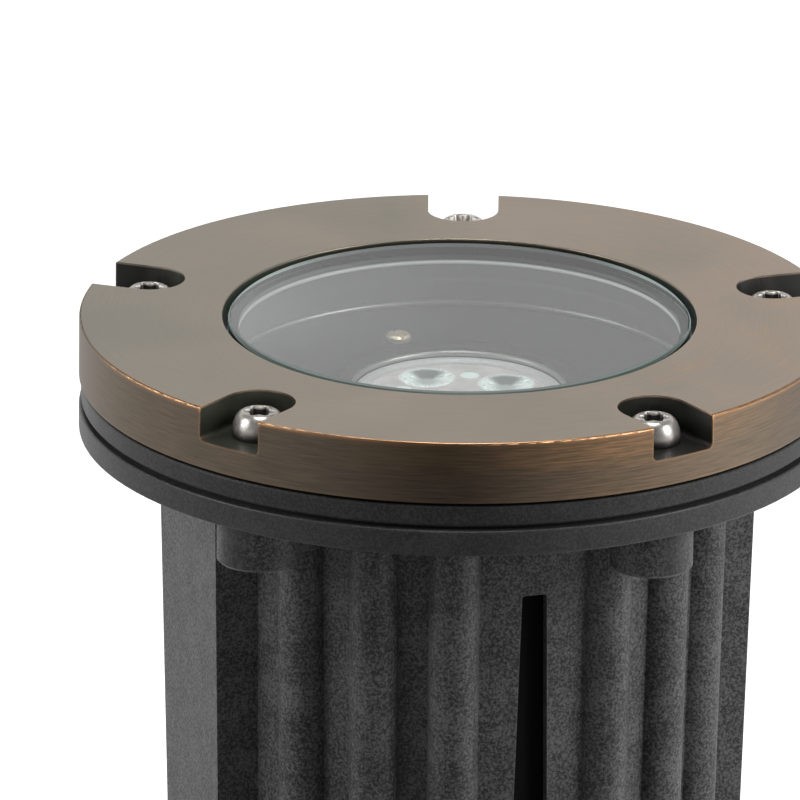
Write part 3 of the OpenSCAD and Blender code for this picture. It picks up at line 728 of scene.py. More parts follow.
    def wear(self, g: Graph, at: Place) -> Socket:
        """Finds the bright edges at the front, most of all the upper outer one: partly rubbed metal, partly
        a painted highlight.

        Args:
            g: the graph.
            at: the shaded point.

        Returns:
            How bright they are, from 0 to 1.
        """
        broken = g.band(g.noise(at.vector, self.nicks), self.nicked)
        edge = g.times(g.edges(self.edge_w, 6, self.turned), broken)
        rim = g.fit(g.band(at.r, self.rim_r), 0.75, g.times(g.band(at.r, self.notch_r), 0.25))
        high = g.fit(g.band(at.z, self.high_z), 0.75, 0.25)
        return g.times(edge, rim, g.band(at.y, self.worn_y), high)

    def material(self) -> bpy.types.Material:
        """Builds the material.

        Returns:
            The material.
        """
        material, g = new_material(self.name)
        at = g.place()
        streak, broad = self.brushing(g, at), g.noise(at.vector, self.broad)
        right, outer = g.band(at.x, self.right_x), g.band(at.r, self.outer_r)
        colour = g.mix(outer, self.top(g, at, broad, right), self.outside(g, at, streak))
        grain = g.minus(streak, 0.5)
        colour = g.shaded(colour, g.fit(grain, g.fit(outer, 0.4, 0.5), 1.0))
        # Painted shade on the faces of the bore and the notches.
        deep_shade = g.times(g.band(at.r, self.inner_r), g.band(at.z, self.sunk_z))
        colour = g.mix(deep_shade, colour, self.shadow(g, at, right))
        # The bright edges are partly rubbed metal and partly a painted highlight.
        g.finish(
            g.shader(
                Base_Color=g.mix(self.wear(g, at), colour, self.worn),
                Metallic=g.minus(1.0, g.times(deep_shade, 0.7)),
                Roughness=g.fit(grain, 0.18, g.fit(broad, 0.1, self.rough - 0.05)),
                Normal=g.bump(streak, 0.22, self.relief),
            )
        )
        return material


@dataclass(frozen=True)
class ClearGlass:
    """Clear glass that lets the light of lamps through and lies wet on its dark seal, with a painted sheen
    on the left and a painted highlight on its edge.

    Spans called back, lit_back and front hold Y over the distance from the axis, and aside holds X over it.

    Args:
        name: name of the material.
        under_z: from the glass to its underside.
        wet_r: from the free underside to the part that lies on the seal.
        edge_r: radius beyond which the greenish edge shows.
        step_r: from the polished edge to the wide lower rim.
        edge_w: width of the change to the greenish edge.
        front_w: how much wider that edge looks at the front.
        back: where the wet underside shows the dark seal.
        aside, lit_back: where the polished edge gets its painted highlight.
        front: where the edge looks wider.
        sheen_rise_x: from the painted sheen's weak part to its strong one.
        haze_x: from none of the painted sheen to the full one.
        haze_y: from the painted sheen's weak half to its strong one.
        tint: colour of the glass.
        green: colour of the edge at the front and back.
        pale_green: colour of the painted highlight on the edge.
        rim: colour of the lower rim, in the dark under the ring.
        seal: colour of the seal that the underside lies on.
        sheen_tone: colour of the painted sheen, a painted reflection on the left of the glass.
        ior: index of refraction.
        veil: colour that shadow rays take on.
        glow: how much of its colour the lit edge sends out by itself, as a painted highlight.
    """

    name: str
    under_z: Span
    wet_r: Span
    edge_r: float
    step_r: Span
    edge_w: float = 0.08 * MM
    front_w: float = 1.7 * MM
    back: Span = (0.25, 0.8)
    aside: Span = (0.5, 0.85)
    lit_back: Span = (-0.3, 0.1)
    front: Span = (-0.1, -0.7)
    sheen_rise_x: Span = (-30.0 * MM, -52.0 * MM)
    haze_x: Span = (0.0, -50.0 * MM)
    haze_y: Span = (-35.0 * MM, 0.0)
    tint: Colour = (0.97, 0.99, 0.98)
    green: Colour = (0.11, 0.155, 0.14)
    pale_green: Colour = (0.54, 0.70, 0.67)
    rim: Colour = (0.02, 0.026, 0.024)
    seal: Colour = (0.006, 0.007, 0.007)
    sheen_tone: Colour = (0.9, 0.9, 0.9)
    ior: float = 1.5
    veil: Colour = (0.93, 0.95, 0.94)
    glow: float = 0.13

    def clear(self, g: Graph) -> Socket:
        """Makes the glass itself, which doesn't hold back the light of lamps.

        Args:
            g: the graph.

        Returns:
            The shader.
        """
        body = g.shader(Base_Color=self.tint, Roughness=0.0, IOR=self.ior, Transmission_Weight=1.0)
        path = g.node("LightPath").outputs
        passing = g.most(path["Is Shadow Ray"], path["Is Diffuse Ray"])
        return g.layer(passing, body, g.simple(Simple.CLEAR, self.veil))

    def haze(self, g: Graph, at: Place) -> Socket:
        """Makes a thin painted sheen, a painted reflection on the left, most of all at the back there.

        Args:
            g: the graph.
            at: the shaded point.

        Returns:
            How strong the painted sheen is, from 0 to 1.
        """
        sheen_depth = g.fit(g.band(at.x, self.sheen_rise_x), 0.07, 0.08)
        weight = g.fit(g.band(at.y, self.haze_y), 0.5, 0.5)
        return g.times(g.band(at.x, self.haze_x), sheen_depth, weight)

    def polished(self, g: Graph, at: Place, ahead: Socket) -> Socket:
        """Makes the polished edge, with a painted highlight at the sides and painted shade on the lower
        rim.

        Args:
            g: the graph.
            at: the shaded point.
            ahead: Y over the distance from the axis.

        Returns:
            The shader.
        """
        aside = g.band(g.over(g.calc(Op.SIZE, at.x), at.r), self.aside)
        # Painted highlight: the sides of the edge are pale and glow; painted shade: the lower rim is dark.
        flank = g.times(aside, g.band(ahead, self.lit_back))
        below = g.band(at.r, self.step_r)
        tone = g.mix(below, g.mix(flank, self.green, self.pale_green), self.rim)
        glow = g.times(flank, g.minus(1.0, below), self.glow)
        light = {"Emission_Color": tone, "Emission_Strength": glow}
        return g.shader(Base_Color=tone, Roughness=0.25, Specular_IOR_Level=0.8, **light)

    def material(self) -> bpy.types.Material:
        """Builds the material.

        Returns:
            The material.
        """
        material, g = new_material(self.name)
        at = g.place()
        ahead = g.over(at.y, at.r)
        wet = g.times(g.band(at.z, self.under_z), g.band(at.r, self.wet_r, False))
        dark = g.simple(Simple.MATT, self.seal)
        glass = g.layer(g.times(wet, g.band(ahead, self.back)), self.clear(g), dark)
        # A pale matte layer paints a reflection on the left of the glass.
        sheen_share = g.times(self.haze(g, at), g.minus(1.0, wet))
        glass = g.layer(sheen_share, glass, g.simple(Simple.MATT, self.sheen_tone))
        reach = g.minus(at.r, g.times(g.band(ahead, self.front), -self.front_w))
        arris = g.band(reach, (self.edge_r, self.edge_r + self.edge_w), False)
        g.finish(g.layer(arris, glass, self.polished(g, at, ahead)))
        return material


@dataclass(frozen=True)
class OpticFinish:
    """Lamp optic: glassy lens dishes with radial facets of painted reflection in a frosted pale face, which
    glows as painted light.

    Args:
        name: name of the material.
        centres: lens centres on the face.
        radius: radius of a dish.
        pegs: centres of the glossy pegs between the lenses.
        peg_r: radius of a peg.
        dish_w: how far outside and inside of its radius a dish's look starts and is full.
        peg_w: how far outside and inside of its radius a peg's look starts and is full.
        dark: colour of the facets that mirror the dark.
        bright: colour of the facets that mirror the light.
        faces: darker and lighter colour of the frosted face.
        peg: colour of the pegs.
        frost: pattern of the face.
        frosted: pattern values of the two colours.
        cuts: pattern of the facets.
        cuts_round: its cycles per radian round a lens's centre.
        cuts_out: its cycles per metre out from there.
        cut: pattern values of dark and bright facets.
        back: way back over way out from a lens's centre, where the dark crescent, a painted reflection,
            starts and is full.
        least_r: smallest way out that this is worked out with.
        glow: how much of its colour the optic sends out by itself, as painted light.
    """

    name: str
    centres: tuple[Spot, ...]
    radius: float
    pegs: tuple[Spot, ...]
    peg_r: float
    dish_w: Pair = (0.2 * MM, 0.5 * MM)
    peg_w: Pair = (0.1 * MM, 0.3 * MM)
    dark: Colour = (0.015, 0.03, 0.028)
    bright: Colour = (0.88, 0.98, 0.96)
    faces: tuple[Colour, Colour] = ((0.29, 0.277, 0.277), (0.38, 0.362, 0.362))
    peg: Colour = (0.52, 0.60, 0.58)
    frost: Noise = Noise(230.0, 3.0, 0.6)
    frosted: Span = (0.3, 0.7)
    cuts: Noise = Noise(1.0, 4.0, 0.75)
    cuts_round: float = 19.0
    cuts_out: float = 650.0
    cut: Span = (0.36, 0.66)
    back: Span = (0.45, 0.9)
    least_r: float = 0.1 * MM
    glow: float = 0.8

    def dish(self, g: Graph, at: Place) -> tuple[Socket, Socket, Socket]:
        """Finds the nearest lens.

        Args:
            g: the graph.
            at: the shaded point.

        Returns:
            The distance to its centre, the angle about it, and how far behind it the point is.
        """
        found = None
        for cx, cy in self.centres:
            dx, dy = g.minus(at.x, cx), g.minus(at.y, cy)
            away, angle = g.radius(dx, dy), g.calc(Op.ANGLE, dy, dx)
            if found is None:
                found = (away, angle, dy)
                continue
            nearest, turn, behind = found
            closer = g.calc(Op.BELOW, away, nearest)
            found = (g.least(nearest, away), g.choose(closer, turn, angle), g.choose(closer, behind, dy))
        return found

    def lens(self, g: Graph, nearest: Socket, turn: Socket, behind: Socket) -> Socket:
        """Paints a lens with painted reflections: a dark crescent at the back, and bright facets round the
        rest of it.

        Args:
            g: the graph.
            nearest: distance to its centre.
            turn: angle about it.
            behind: how far behind it the point is.

        Returns:
            The lens's colour.
        """
        r = self.radius
        # Painted reflections: bright facets, and a dark crescent at the back.
        ray = g.join(g.times(turn, self.cuts_round), g.times(nearest, self.cuts_out), 0.0)
        facets = g.times(g.band(g.noise(ray, self.cuts), self.cut), g.band(nearest, (0.15 * r, 0.7 * r)))
        back = g.band(g.over(behind, g.most(nearest, self.least_r)), self.back)
        crescent = g.times(back, g.hill(nearest, (0.1 * r, 0.35 * r), (0.98 * r, 0.75 * r)))
        lit = g.times(g.fit(facets, 0.72, 0.26), g.fit(crescent, -0.9, 1.0))
        return g.mix(lit, self.dark, self.bright)

    def material(self) -> bpy.types.Material:
        """Builds the material.

        Returns:
            The material.
        """
        material, g = new_material(self.name)
        at = g.place()
        nearest, turn, behind = self.dish(g, at)
        inside = g.band(nearest, (self.radius + self.dish_w[0], self.radius - self.dish_w[1]))
        on_peg = g.band(g.nearest(at, self.pegs), (self.peg_r + self.peg_w[0], self.peg_r - self.peg_w[1]))
        face = g.mix(g.band(g.noise(at.vector, self.frost), self.frosted), *self.faces)
        colour = g.mix(inside, g.mix(on_peg, face, self.peg), self.lens(g, nearest, turn, behind))
        # The optic's emission is painted light.
        light = {"Emission_Color": colour, "Emission_Strength": self.glow}
        g.finish(g.shader(Base_Color=colour, Roughness=g.fit(inside, -0.2, 0.4), **light))
        return material


@dataclass(frozen=True)
class SealFinish:
    """Dark silicone whose inner lip is darker still.

    Args:
        name: name of the material.
        lip_r: from the body to the lip.
        body: colour of the body.
        lip: colour of the lip.
    """

    name: str
    lip_r: Span
    body: Colour = (0.11, 0.115, 0.11)
    lip: Colour = (0.03, 0.03, 0.03)

    def material(self) -> bpy.types.Material:
        """Builds the material.

        Returns:
            The material.
        """
        material, g = new_material(self.name)
        inside = g.band(g.place().r, self.lip_r)
        g.finish(g.shader(Base_Color=g.mix(inside, self.body, self.lip), Roughness=0.35))
        return material


def dress(names: tuple[str, ...], material: bpy.types.Material) -> int:
    """Gives CAD nodes a material.

    Args:
        names: the nodes.
        material: the finish.

    Returns:
        How many nodes were dressed.
    """
    for name in names:
        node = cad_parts[name]
        node.data.materials.clear()
        node.data.materials.append(material)
        LOG.info("%s in %s", name, material.name)
    return len(names)


def lathe(mesh: bmesh.types.BMesh, foot: Vector, rows: list[Row], steps: int, closed: bool = False) -> None:
    """Adds a turned solid whose rows may be lobed.

    Args:
        mesh: the mesh that it is added to.
        foot: the axis at height 0.
        rows: radius, or radius by angle, and height of each row, from the lower pole to the upper one.
        steps: how many points a row has.
        closed: the last row joins the first one, as in a ring.
    """
    turns = [2.0 * math.pi * i / steps for i in range(steps)]
    rings = []
    for radius, height in rows:
        reach = [radius(t) if callable(radius) else radius for t in turns]
        points = [Vector((r * math.cos(t), r * math.sin(t), height)) for r, t in zip(reach, turns)]
        rings.append([mesh.verts.new(foot + point) for point in points])
    pairs = list(zip(rings, rings[1:]))
    if closed:
        pairs.append((rings[-1], rings[0]))
    for low, high in pairs:
        for i in range(steps):
            j = (i + 1) % steps
            mesh.faces.new((low[i], low[j], high[j], high[i])).smooth = True
    if not closed:
        mesh.faces.new(rings[0][::-1])
        mesh.faces.new(rings[-1])


def new_piece(name: str, mesh: bmesh.types.BMesh, material: bpy.types.Material) -> bpy.types.Object:
    """Puts a finished mesh into the scene.

    Args:
        name: the piece's name.
        mesh: its mesh, which is used up.
        material: its finish.

    Returns:
        The piece.
    """
    data = bpy.data.meshes.new(name)
    mesh.to_mesh(data)
    mesh.free()
    data.materials.append(material)
    made = bpy.data.objects.new(name, data)
    bpy.context.scene.collection.objects.link(made)
    LOG.info("%s in %s", name, material.name)
    return made


@dataclass(frozen=True)
class PanScrews:
    """Round-shouldered stainless pan-head screws with a six-lobed recess.

    Args:
        axes: screw axes.
        low: height of the shafts' ends.
        seat: height of the heads' undersides.
        head_r: radius of a head.
        head_h: height of a head.
        shaft_r: radius of a shaft.
        tip_r: radius of the flat middle of a shaft's end.
        tip_bevel: bevel of a shaft's end, in and up.
        drive_r: radius over the lobes.
        drive_h: depth of the recess.
        drive_ease: how far the recess's mouth widens and its wall comes in.
        mouth_h: height of that mouth.
        cone_h: height of the cone at the recess's floor.
        cone_r: radius of the cone's flat middle.
        lobes: how many lobes the recess has.
        lobe_share: half the lobes' depth, as a share of drive_r.
        shoulder_shares: the head's outline from its underside, as shares of its radius and height.
        wall_w: how far outside and inside of drive_r the painted shade on the recess's wall starts and is
            full.
        floor_h: depths between which the painted shade in the recess starts and is full.
        foot_h: depths between which the painted shade on the head's foot starts and is full.
        steps: how many points a row has.
    """

    axes: tuple[Spot, ...]
    low: float
    seat: float
    head_r: float = 6.2 * MM
    head_h: float = 5.9 * MM
    shaft_r: float = 3.0 * MM
    tip_r: float = 0.1 * MM
    tip_bevel: Pair = (0.4 * MM, 0.5 * MM)
    drive_r: float = 3.5 * MM
    drive_h: float = 3.2 * MM
    drive_ease: float = 0.1 * MM
    mouth_h: float = 0.15 * MM
    cone_h: float = 0.3 * MM
    cone_r: float = 0.3 * MM
    lobes: int = 6
    lobe_share: float = 0.14
    shoulder_shares: tuple[Pair, ...] = (
        (0.97, 0.0), (1.0, 0.06), (1.0, 0.32), (0.985, 0.44), (0.95, 0.58),
        (0.895, 0.73), (0.825, 0.85), (0.75, 0.93), (0.68, 0.98), (0.62, 1.0),
    )
    wall_w: Pair = (0.2 * MM, 0.1 * MM)
    floor_h: Pair = (0.2 * MM, 0.8 * MM)
    foot_h: Pair = (3.1 * MM, 5.2 * MM)
    steps: int = 72

    @property
    def top(self) -> float:
        """Height of the heads' tops."""
        return self.seat + self.head_h

    def lobed(self, inset: float) -> Callable[[float], float]:
        """Gives the recess's radius by angle, for a wall that has come in by inset."""
        share = self.lobe_share
        return lambda turn: self.drive_r * (1.0 - share + share * math.cos(self.lobes * turn)) - inset

    def rows(self) -> list[Row]:
        """Lists the rows of a screw.

        Returns:
            The rows, from its shaft's end to the recess's floor.
        """
        bevel_r, bevel_h = self.tip_bevel
        floor = self.top - self.drive_h
        return [
            (self.tip_r, self.low),
            (self.shaft_r - bevel_r, self.low),
            (self.shaft_r, self.low + bevel_h),
            (self.shaft_r, self.seat),
            *[(self.head_r * out, self.seat + self.head_h * up) for out, up in self.shoulder_shares],
            (self.lobed(-self.drive_ease), self.top),
            (self.lobed(0.0), self.top - self.mouth_h),
            (self.lobed(self.drive_ease), floor + self.cone_h),
            (self.cone_r, floor),
        ]

    def finish(self) -> ScrewFinish:
        """Fits the screws' finish to their recess.

        Returns:
            The finish.
        """
        wall = (self.drive_r + self.wall_w[0], self.drive_r - self.wall_w[1])
        floor, foot = [(self.top - start, self.top - end) for start, end in (self.floor_h, self.foot_h)]
        return ScrewFinish("stainless", self.axes, wall, floor, foot)

    def build(self) -> bpy.types.Object:
        """Builds the screws in place of the plain ones.

        Returns:
            The screws, as one piece.
        """
        mesh = bmesh.new()
        for x, y in self.axes:
            lathe(mesh, Vector((x, y, 0.0)), self.rows(), self.steps)
        made = new_piece("cover_screws_pan", mesh, self.finish().material())
        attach(made, "housing")
        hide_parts("cover_screws")
        return made


@dataclass(frozen=True)
class SealBead:
    """Pale bead that the lens seal carries round its inner lip, under the glass.

    Args:
        ring_r: radius of the bead's centre line.
        thick: radius of its section.
        high: height of its upper side.
        colour: colour of the silicone.
        rough: its roughness.
        glow: how much of its colour it sends out by itself, as painted light.
        section: how many points its section has.
        steps: how many sections it has.
    """

    ring_r: float = 52.1 * MM
    thick: float = 0.5 * MM
    high: float = TOP_Z - 9.8 * MM
    colour: Colour = (0.6, 0.62, 0.6)
    rough: float = 0.3
    glow: float = 0.17
    section: int = 14
    steps: int = 180

    def material(self) -> bpy.types.Material:
        """Builds the bead's material.

        Returns:
            The material.
        """
        material, g = new_material("pale_silicone")
        # The bead's emission is painted light.
        light = {"Emission_Color": self.colour, "Emission_Strength": self.glow}
        g.finish(g.shader(Base_Color=self.colour, Roughness=self.rough, **light))
        return material

    def build(self) -> bpy.types.Object:
        """Builds the bead.

        Returns:
            The bead.
        """
        turns = [2.0 * math.pi * i / self.section for i in range(self.section)]
        centre = self.high - self.thick
        rows = [(self.ring_r + self.thick * math.cos(t), centre - self.thick * math.sin(t)) for t in turns]
        mesh = bmesh.new()
        lathe(mesh, Vector(), rows, self.steps, closed=True)
        made = new_piece("lens_seal_bead", mesh, self.material())
        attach(made, "housing")
        return made


@dataclass(frozen=True)
class CoverAssembly:
    """Cast ring, its screws and the brass parts.

    Args:
        bronze: finish of the ring.
        wire: finish of the snap ring.
        brass: finish of the inserts, pivot screws and contacts.
        lit_brass: finish of the block screws, a brighter copy of the brass that paints a highlight on their
            heads.
        screws: how many cover screws there are, of which the first is at the back.
        screw_r: radius of their circle.
        screw_sink: how far their seats lie under the top.
    """

    bronze: BronzeFinish = BronzeFinish("bronze")
    wire: PlainFinish = PlainFinish("wire", (0.3, 0.3, 0.29), 0.4, 1.0)
    brass: PlainFinish = PlainFinish("brass", (0.72, 0.5, 0.22), 0.3, 1.0)
    lit_brass: PlainFinish = PlainFinish("bright_brass", (0.98, 0.86, 0.6), 0.42, 0.9)
    screws: int = 5
    screw_r: float = 77.0 * MM
    screw_sink: float = 8.1 * MM

    def dress(self) -> int:
        """Gives each node its finish and builds the screws.

        Returns:
            How many nodes were dressed.
        """
        turns = [math.radians(90.0 + 360.0 / self.screws * i) for i in range(self.screws)]
        axes = tuple((self.screw_r * math.cos(t), self.screw_r * math.sin(t)) for t in turns)
        low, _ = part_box("cover_screws")
        PanScrews(axes, low.z, TOP_Z - self.screw_sink).build()
        count = dress(("cover_ring",), self.bronze.material())
        count += dress(("snap_ring",), self.wire.material())
        # The block screws get a lit copy of the brass: a painted highlight.
        count += dress(("block_screws",), self.lit_brass.material())
        return count + dress(("threaded_inserts", "pivot_screws", "socket_contacts"), self.brass.material())


@dataclass(frozen=True)
class LensAssembly:
    """Glass lens with its seals.

    Args:
        under: height of the glass's underside.
        under_w: how far above the underside its look starts, and where it is full.
        seal_r: radius from which on the underside lies on the seal.
        seal_w: width of the change to the wet underside.
        lip_r: radius out to which the seal's lip is darker than its body.
        lip_w: width of that change.
        edge_r: radius beyond which the glass's greenish edge shows.
        step_w: how far beyond it the lower rim starts and is full.
        bead: the seal's pale bead.
        rubber: finish of the gaskets.
    """

    under: float = TOP_Z - 8.4 * MM
    under_w: Pair = (0.06 * MM, 0.02 * MM)
    seal_r: float = 51.65 * MM
    seal_w: float = 0.02 * MM
    lip_r: float = 51.7 * MM
    lip_w: float = 0.2 * MM
    edge_r: float = 53.72 * MM
    step_w: Pair = (0.45 * MM, 0.55 * MM)
    bead: SealBead = SealBead()
    rubber: PlainFinish = PlainFinish("gasket_rubber", (0.008, 0.008, 0.008), 0.6)

    def glass(self) -> ClearGlass:
        """Fits the lens's finish to its seal and edge.

        Returns:
            The finish.
        """
        under = tuple(self.under + above for above in self.under_w)
        step = tuple(self.edge_r + beyond for beyond in self.step_w)
        return ClearGlass("lens_glass", under, (self.seal_r, self.seal_r + self.seal_w), self.edge_r, step)

    def dress(self) -> int:
        """Gives each node its finish and builds the bead.

        Returns:
            How many nodes were dressed.
        """
        self.bead.build()
        silicone = SealFinish("lens_silicone", (self.lip_r + self.lip_w, self.lip_r))
        count = dress(("glass_lens",), self.glass().material())
        count += dress(("lens_seal",), silicone.material())
        gaskets = ("cover_gasket", "flange_gasket", "gland_washer", "gland_seal")
        return count + dress(gaskets, self.rubber.material())


@dataclass(frozen=True)
class Housing:
    """Canister, ground sleeve and cable gland.

    Args:
        sleeve: finish of the ground sleeve.
        canister: finish of the canister, with painted shade that makes it black where it hangs inside the
            sleeve.
        nylon: finish of the gland.
    """

    sleeve: GrainedMoulding = GrainedMoulding(
        "sleeve_black", dark=0.038, pale=0.21, rough=0.5, edge=0.4, flange_r=85.0 * MM
    )
    canister: GrainedMoulding = GrainedMoulding(
        "canister_black", dark=0.030, pale=0.07, rough=0.36, edge=0.2, relief=0.04 * MM, deep_r=70.0 * MM
    )
    nylon: PlainFinish = PlainFinish("gland_black", (0.02, 0.02, 0.02), 0.4)

    def dress(self) -> int:
        """Gives each node its finish.

        Returns:
            How many nodes were dressed.
        """
        count = dress(("ground_sleeve",), self.sleeve.material())
        count += dress(("canister",), self.canister.material())
        return count + dress(("gland_body", "gland_locknut", "gland_nut"), self.nylon.material())


@dataclass(frozen=True)
class LampGimbal:
    """Swivel plate, gimbal ring and the directional lamp.

    Args:
        enamel: finish of the plate, blocks and gimbal.
        alloy: finish of the heat sink.
        bezel: finish of the bezel.
        clip: finish of the wire clip and the lamp's pins.
        white: finish of the washers, board and lamp base.
        ceramic: finish of the socket.
        phosphor: finish of the light sources.
        lenses: how many lenses the optic has, with a peg between each two.
        lens_angle: direction of the first lens in degrees.
        lens_reach: distance of the lenses and pegs from the axis.
        lens_shift: how far behind their cones the dishes look to be.
        lens_r: radius of a dish.
        peg_r: radius of a peg.
    """

    enamel: PlainFinish = PlainFinish("black_enamel", (0.003, 0.003, 0.003), 0.6, specular=0.1)
    alloy: PlainFinish = PlainFinish("lamp_alloy", (0.86, 0.87, 0.88), 0.45, 0.35)
    bezel: PlainFinish = PlainFinish("lamp_bezel", (0.8, 0.8, 0.81), 0.45, 0.25)
    clip: PlainFinish = PlainFinish("clip_wire", (0.4, 0.4, 0.39), 0.4, 1.0)
    white: PlainFinish = PlainFinish("white_moulding", (0.75, 0.75, 0.73), 0.45)
    ceramic: PlainFinish = PlainFinish("ceramic", (0.72, 0.69, 0.62), 0.7)
    phosphor: PlainFinish = PlainFinish("phosphor", (0.85, 0.62, 0.12), 0.5)
    lenses: int = 4
    lens_angle: float = 124.3
    lens_reach: float = 13.36 * MM
    lens_shift: float = 0.9 * MM
    lens_r: float = 6.7 * MM
    peg_r: float = 2.3 * MM

    def optic(self) -> OpticFinish:
        """Fits the optic's finish to its lenses and pegs.

        Returns:
            The finish.
        """
        step = math.pi / self.lenses
        turns = [math.radians(self.lens_angle) + i * step for i in range(2 * self.lenses)]
        spots = [(self.lens_reach * math.cos(t), self.lens_reach * math.sin(t)) for t in turns]
        dishes = tuple((x, y + self.lens_shift) for x, y in spots[::2])
        return OpticFinish("optic", dishes, self.lens_r, tuple(spots[1::2]), self.peg_r)

    def dress(self) -> int:
        """Gives each node its finish.

        Returns:
            How many nodes were dressed.
        """
        count = dress(("swivel_plate", "pivot_blocks", "gimbal_ring"), self.enamel.material())
        count += dress(("lamp_bezel",), self.bezel.material())
        count += dress(("lamp_clip", "lamp_pins"), self.clip.material())
        count += dress(("heat_sink",), self.alloy.material())
        count += dress(("pivot_washers", "led_board", "lamp_base"), self.white.material())
        count += dress(("lamp_optic",), self.optic().material())
        count += dress(("led_chips",), self.phosphor.material())
        return count + dress(("lamp_socket",), self.ceramic.material())


@dataclass(frozen=True)
class SoftBox:
    """A rectangular area lamp aimed at the light's flange.

    Args:
        name: name of the lamp.
        azimuth: direction it stands in, in degrees from the front towards the right.
        height: elevation in degrees.
        size: width and height.
        watts: power.
        distance: distance from what it is aimed at.
        aim_z: height that it is aimed at.
    """

    name: str
    azimuth: float
    height: float
    size: Pair
    watts: float
    distance: float = 1.2
    aim_z: float = 0.18

    def build(self) -> bpy.types.Object:
        """Adds the lamp to the scene.

        Returns:
            The lamp.
        """
        data = bpy.data.lights.new(self.name, "AREA")
        data.shape = "RECTANGLE"
        data.size, data.size_y = self.size
        data.energy = self.watts
        lamp = bpy.data.objects.new(self.name, data)
        a, e = math.radians(self.azimuth), math.radians(self.height)
        away = Vector((math.sin(a) * math.cos(e), -math.cos(a) * math.cos(e), math.sin(e)))
        lamp.location = Vector((0, 0, self.aim_z)) + away * self.distance
        lamp.rotation_euler = away.to_track_quat("Z", "Y").to_euler()
        bpy.context.scene.collection.objects.link(lamp)
        return lamp


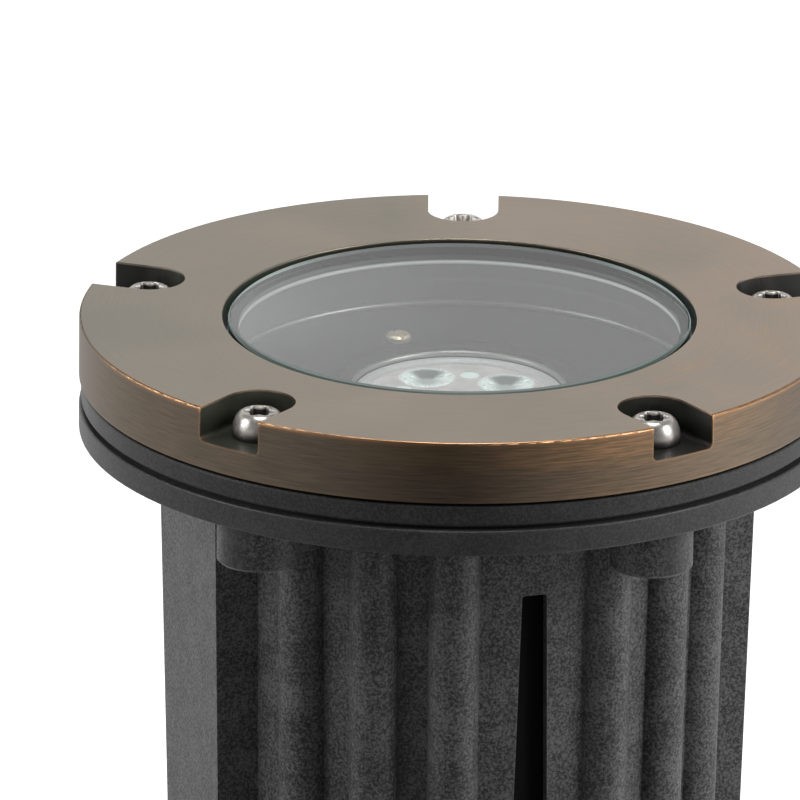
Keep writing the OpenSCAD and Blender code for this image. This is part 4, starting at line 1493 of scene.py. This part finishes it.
@dataclass(frozen=True)
class Studio:
    """White studio: surroundings, floor, soft boxes and the camera.

    Args:
        boxes: the soft boxes.
        low_light: surroundings near the horizon, by compass direction.
        mid_light: surroundings halfway up, by compass direction.
        top_light: surroundings overhead.
        low_rise: elevations in degrees between which the low light gives way to the middle one.
        high_rise: elevations in degrees between which the middle light gives way to the top one.
        floor_light: light that the floor sends up, by compass direction.
        floor_half: half the floor's width.
        floor_tone: the floor's colour.
        floor_glow: light that the floor adds for the camera.
        eye: where the camera stands.
        pitch: how far it looks down, in degrees.
        yaw: how far it looks to the left, in degrees.
        roll: how far it leans, in degrees.
        lens: focal length in millimetres.
        sensor: width of the sensor in millimetres.
        reach: nearest and farthest distance that it sees.
    """

    boxes: tuple[SoftBox, ...] = (
        SoftBox("left_box", -75.0, 28.0, (0.5, 0.7), 3.8),
        SoftBox("right_box", 68.0, 28.0, (0.5, 0.7), 5.3),
        SoftBox("overhead", 10.0, 86.0, (0.4, 0.4), 5.0),
    )
    low_light: Levels = (0.7, 0.32, 0.04, 0.07, 0.56, 0.58, 0.92, 0.71)
    mid_light: Levels = (0.02, 0.0, 0.0, 0.0, 0.02, 0.03, 0.22, 0.05)
    top_light: float = 0.04
    low_rise: Span = (12.0, 42.0)
    high_rise: Span = (42.0, 75.0)
    floor_light: Levels = (0.45, 0.31, 0.011, 0.45, 1.02, 0.64, 0.59, 0.7)
    floor_half: float = 6.0
    floor_tone: Colour = (0.8, 0.8, 0.8)
    floor_glow: float = 0.9
    eye: tuple[float, float, float] = (0.0201, -3.0495, 1.2736)
    pitch: float = 19.480
    yaw: float = 0.635
    roll: float = 0.620
    lens: float = 621.6
    sensor: float = 36.0
    reach: Pair = (0.01, 100.0)

    def surroundings(self) -> None:
        """Makes the world: white to the camera, and for all else as bright as its direction says."""
        world = bpy.data.worlds.new("studio")
        bpy.context.scene.world = world
        world.use_nodes = True
        g = Graph(world.node_tree)
        x, y, z = g.split(g.node("TexCoord").outputs["Generated"])
        height = g.times(g.calc(Op.SLOPE, z), 180.0 / math.pi)
        rise, steep = g.band(height, self.low_rise, False), g.band(height, self.high_rise, False)
        low = g.times(g.compass(x, y, self.low_light), g.minus(1.0, rise))
        mid = g.times(g.compass(x, y, self.mid_light), g.minus(rise, steep))
        light = g.plus(g.plus(low, mid), g.times(steep, self.top_light))
        seen = g.node("LightPath").outputs["Is Camera Ray"]
        g.finish(g.simple(Simple.SKY, WHITE, g.choose(seen, light, 1.0)), End.WORLD)

    def floor_material(self) -> bpy.types.Material:
        """Builds the floor's material: pale to the camera, and for all else a light from below.

        Returns:
            The material.
        """
        material, g = new_material("floor_white")
        pale, glow = g.simple(Simple.MATT, self.floor_tone), g.simple(Simple.GLOW, WHITE, self.floor_glow)
        shown = g.node("AddShader", {0: pale, 1: glow}).outputs[0]
        x, y, _ = g.split(g.position())
        low = g.simple(Simple.GLOW, WHITE, g.compass(x, y, self.floor_light))
        path = g.node("LightPath").outputs
        seen = g.most(path["Is Camera Ray"], path["Is Transmission Ray"])
        g.finish(g.layer(seen, low, shown))
        return material

    def floor(self) -> bpy.types.Object:
        """Adds a plain pale floor.

        Returns:
            The floor.
        """
        half = self.floor_half
        corners = [(-half, -half, 0), (half, -half, 0), (half, half, 0), (-half, half, 0)]
        mesh = bpy.data.meshes.new("floor")
        mesh.from_pydata(corners, [], [(0, 1, 2, 3)])
        mesh.materials.append(self.floor_material())
        floor = bpy.data.objects.new("floor", mesh)
        bpy.context.scene.collection.objects.link(floor)
        return floor

    def camera(self) -> bpy.types.Object:
        """Adds the camera at the photo's angle.

        Returns:
            The camera.
        """
        data = bpy.data.cameras.new("camera")
        data.lens = self.lens
        data.sensor_width = self.sensor
        data.clip_start, data.clip_end = self.reach
        camera = bpy.data.objects.new("camera", data)
        turn = (
            Matrix.Rotation(math.radians(self.yaw), 3, "Z")
            @ Matrix.Rotation(math.radians(90.0 - self.pitch), 3, "X")
            @ Matrix.Rotation(math.radians(self.roll), 3, "Z")
        )
        camera.location = self.eye
        camera.rotation_euler = turn.to_euler()
        bpy.context.scene.collection.objects.link(camera)
        bpy.context.scene.camera = camera
        return camera

    def build(self) -> int:
        """Builds the studio.

        Returns:
            How many lamps it has.
        """
        self.surroundings()
        self.floor()
        for box in self.boxes:
            box.build()
        self.camera()
        bpy.context.scene.view_settings.view_transform = "Standard"
        return len(self.boxes)


def main() -> None:
    """Dresses the well light and builds the studio round it."""
    logging.basicConfig(level=logging.INFO, format="%(message)s")
    for part in (CoverAssembly(), LensAssembly(), Housing(), LampGimbal()):
        LOG.info("%s: %d nodes dressed", type(part).__name__, part.dress())
    LOG.info("studio lamps: %d", Studio().build())


if __name__ == "__main__":
    main()
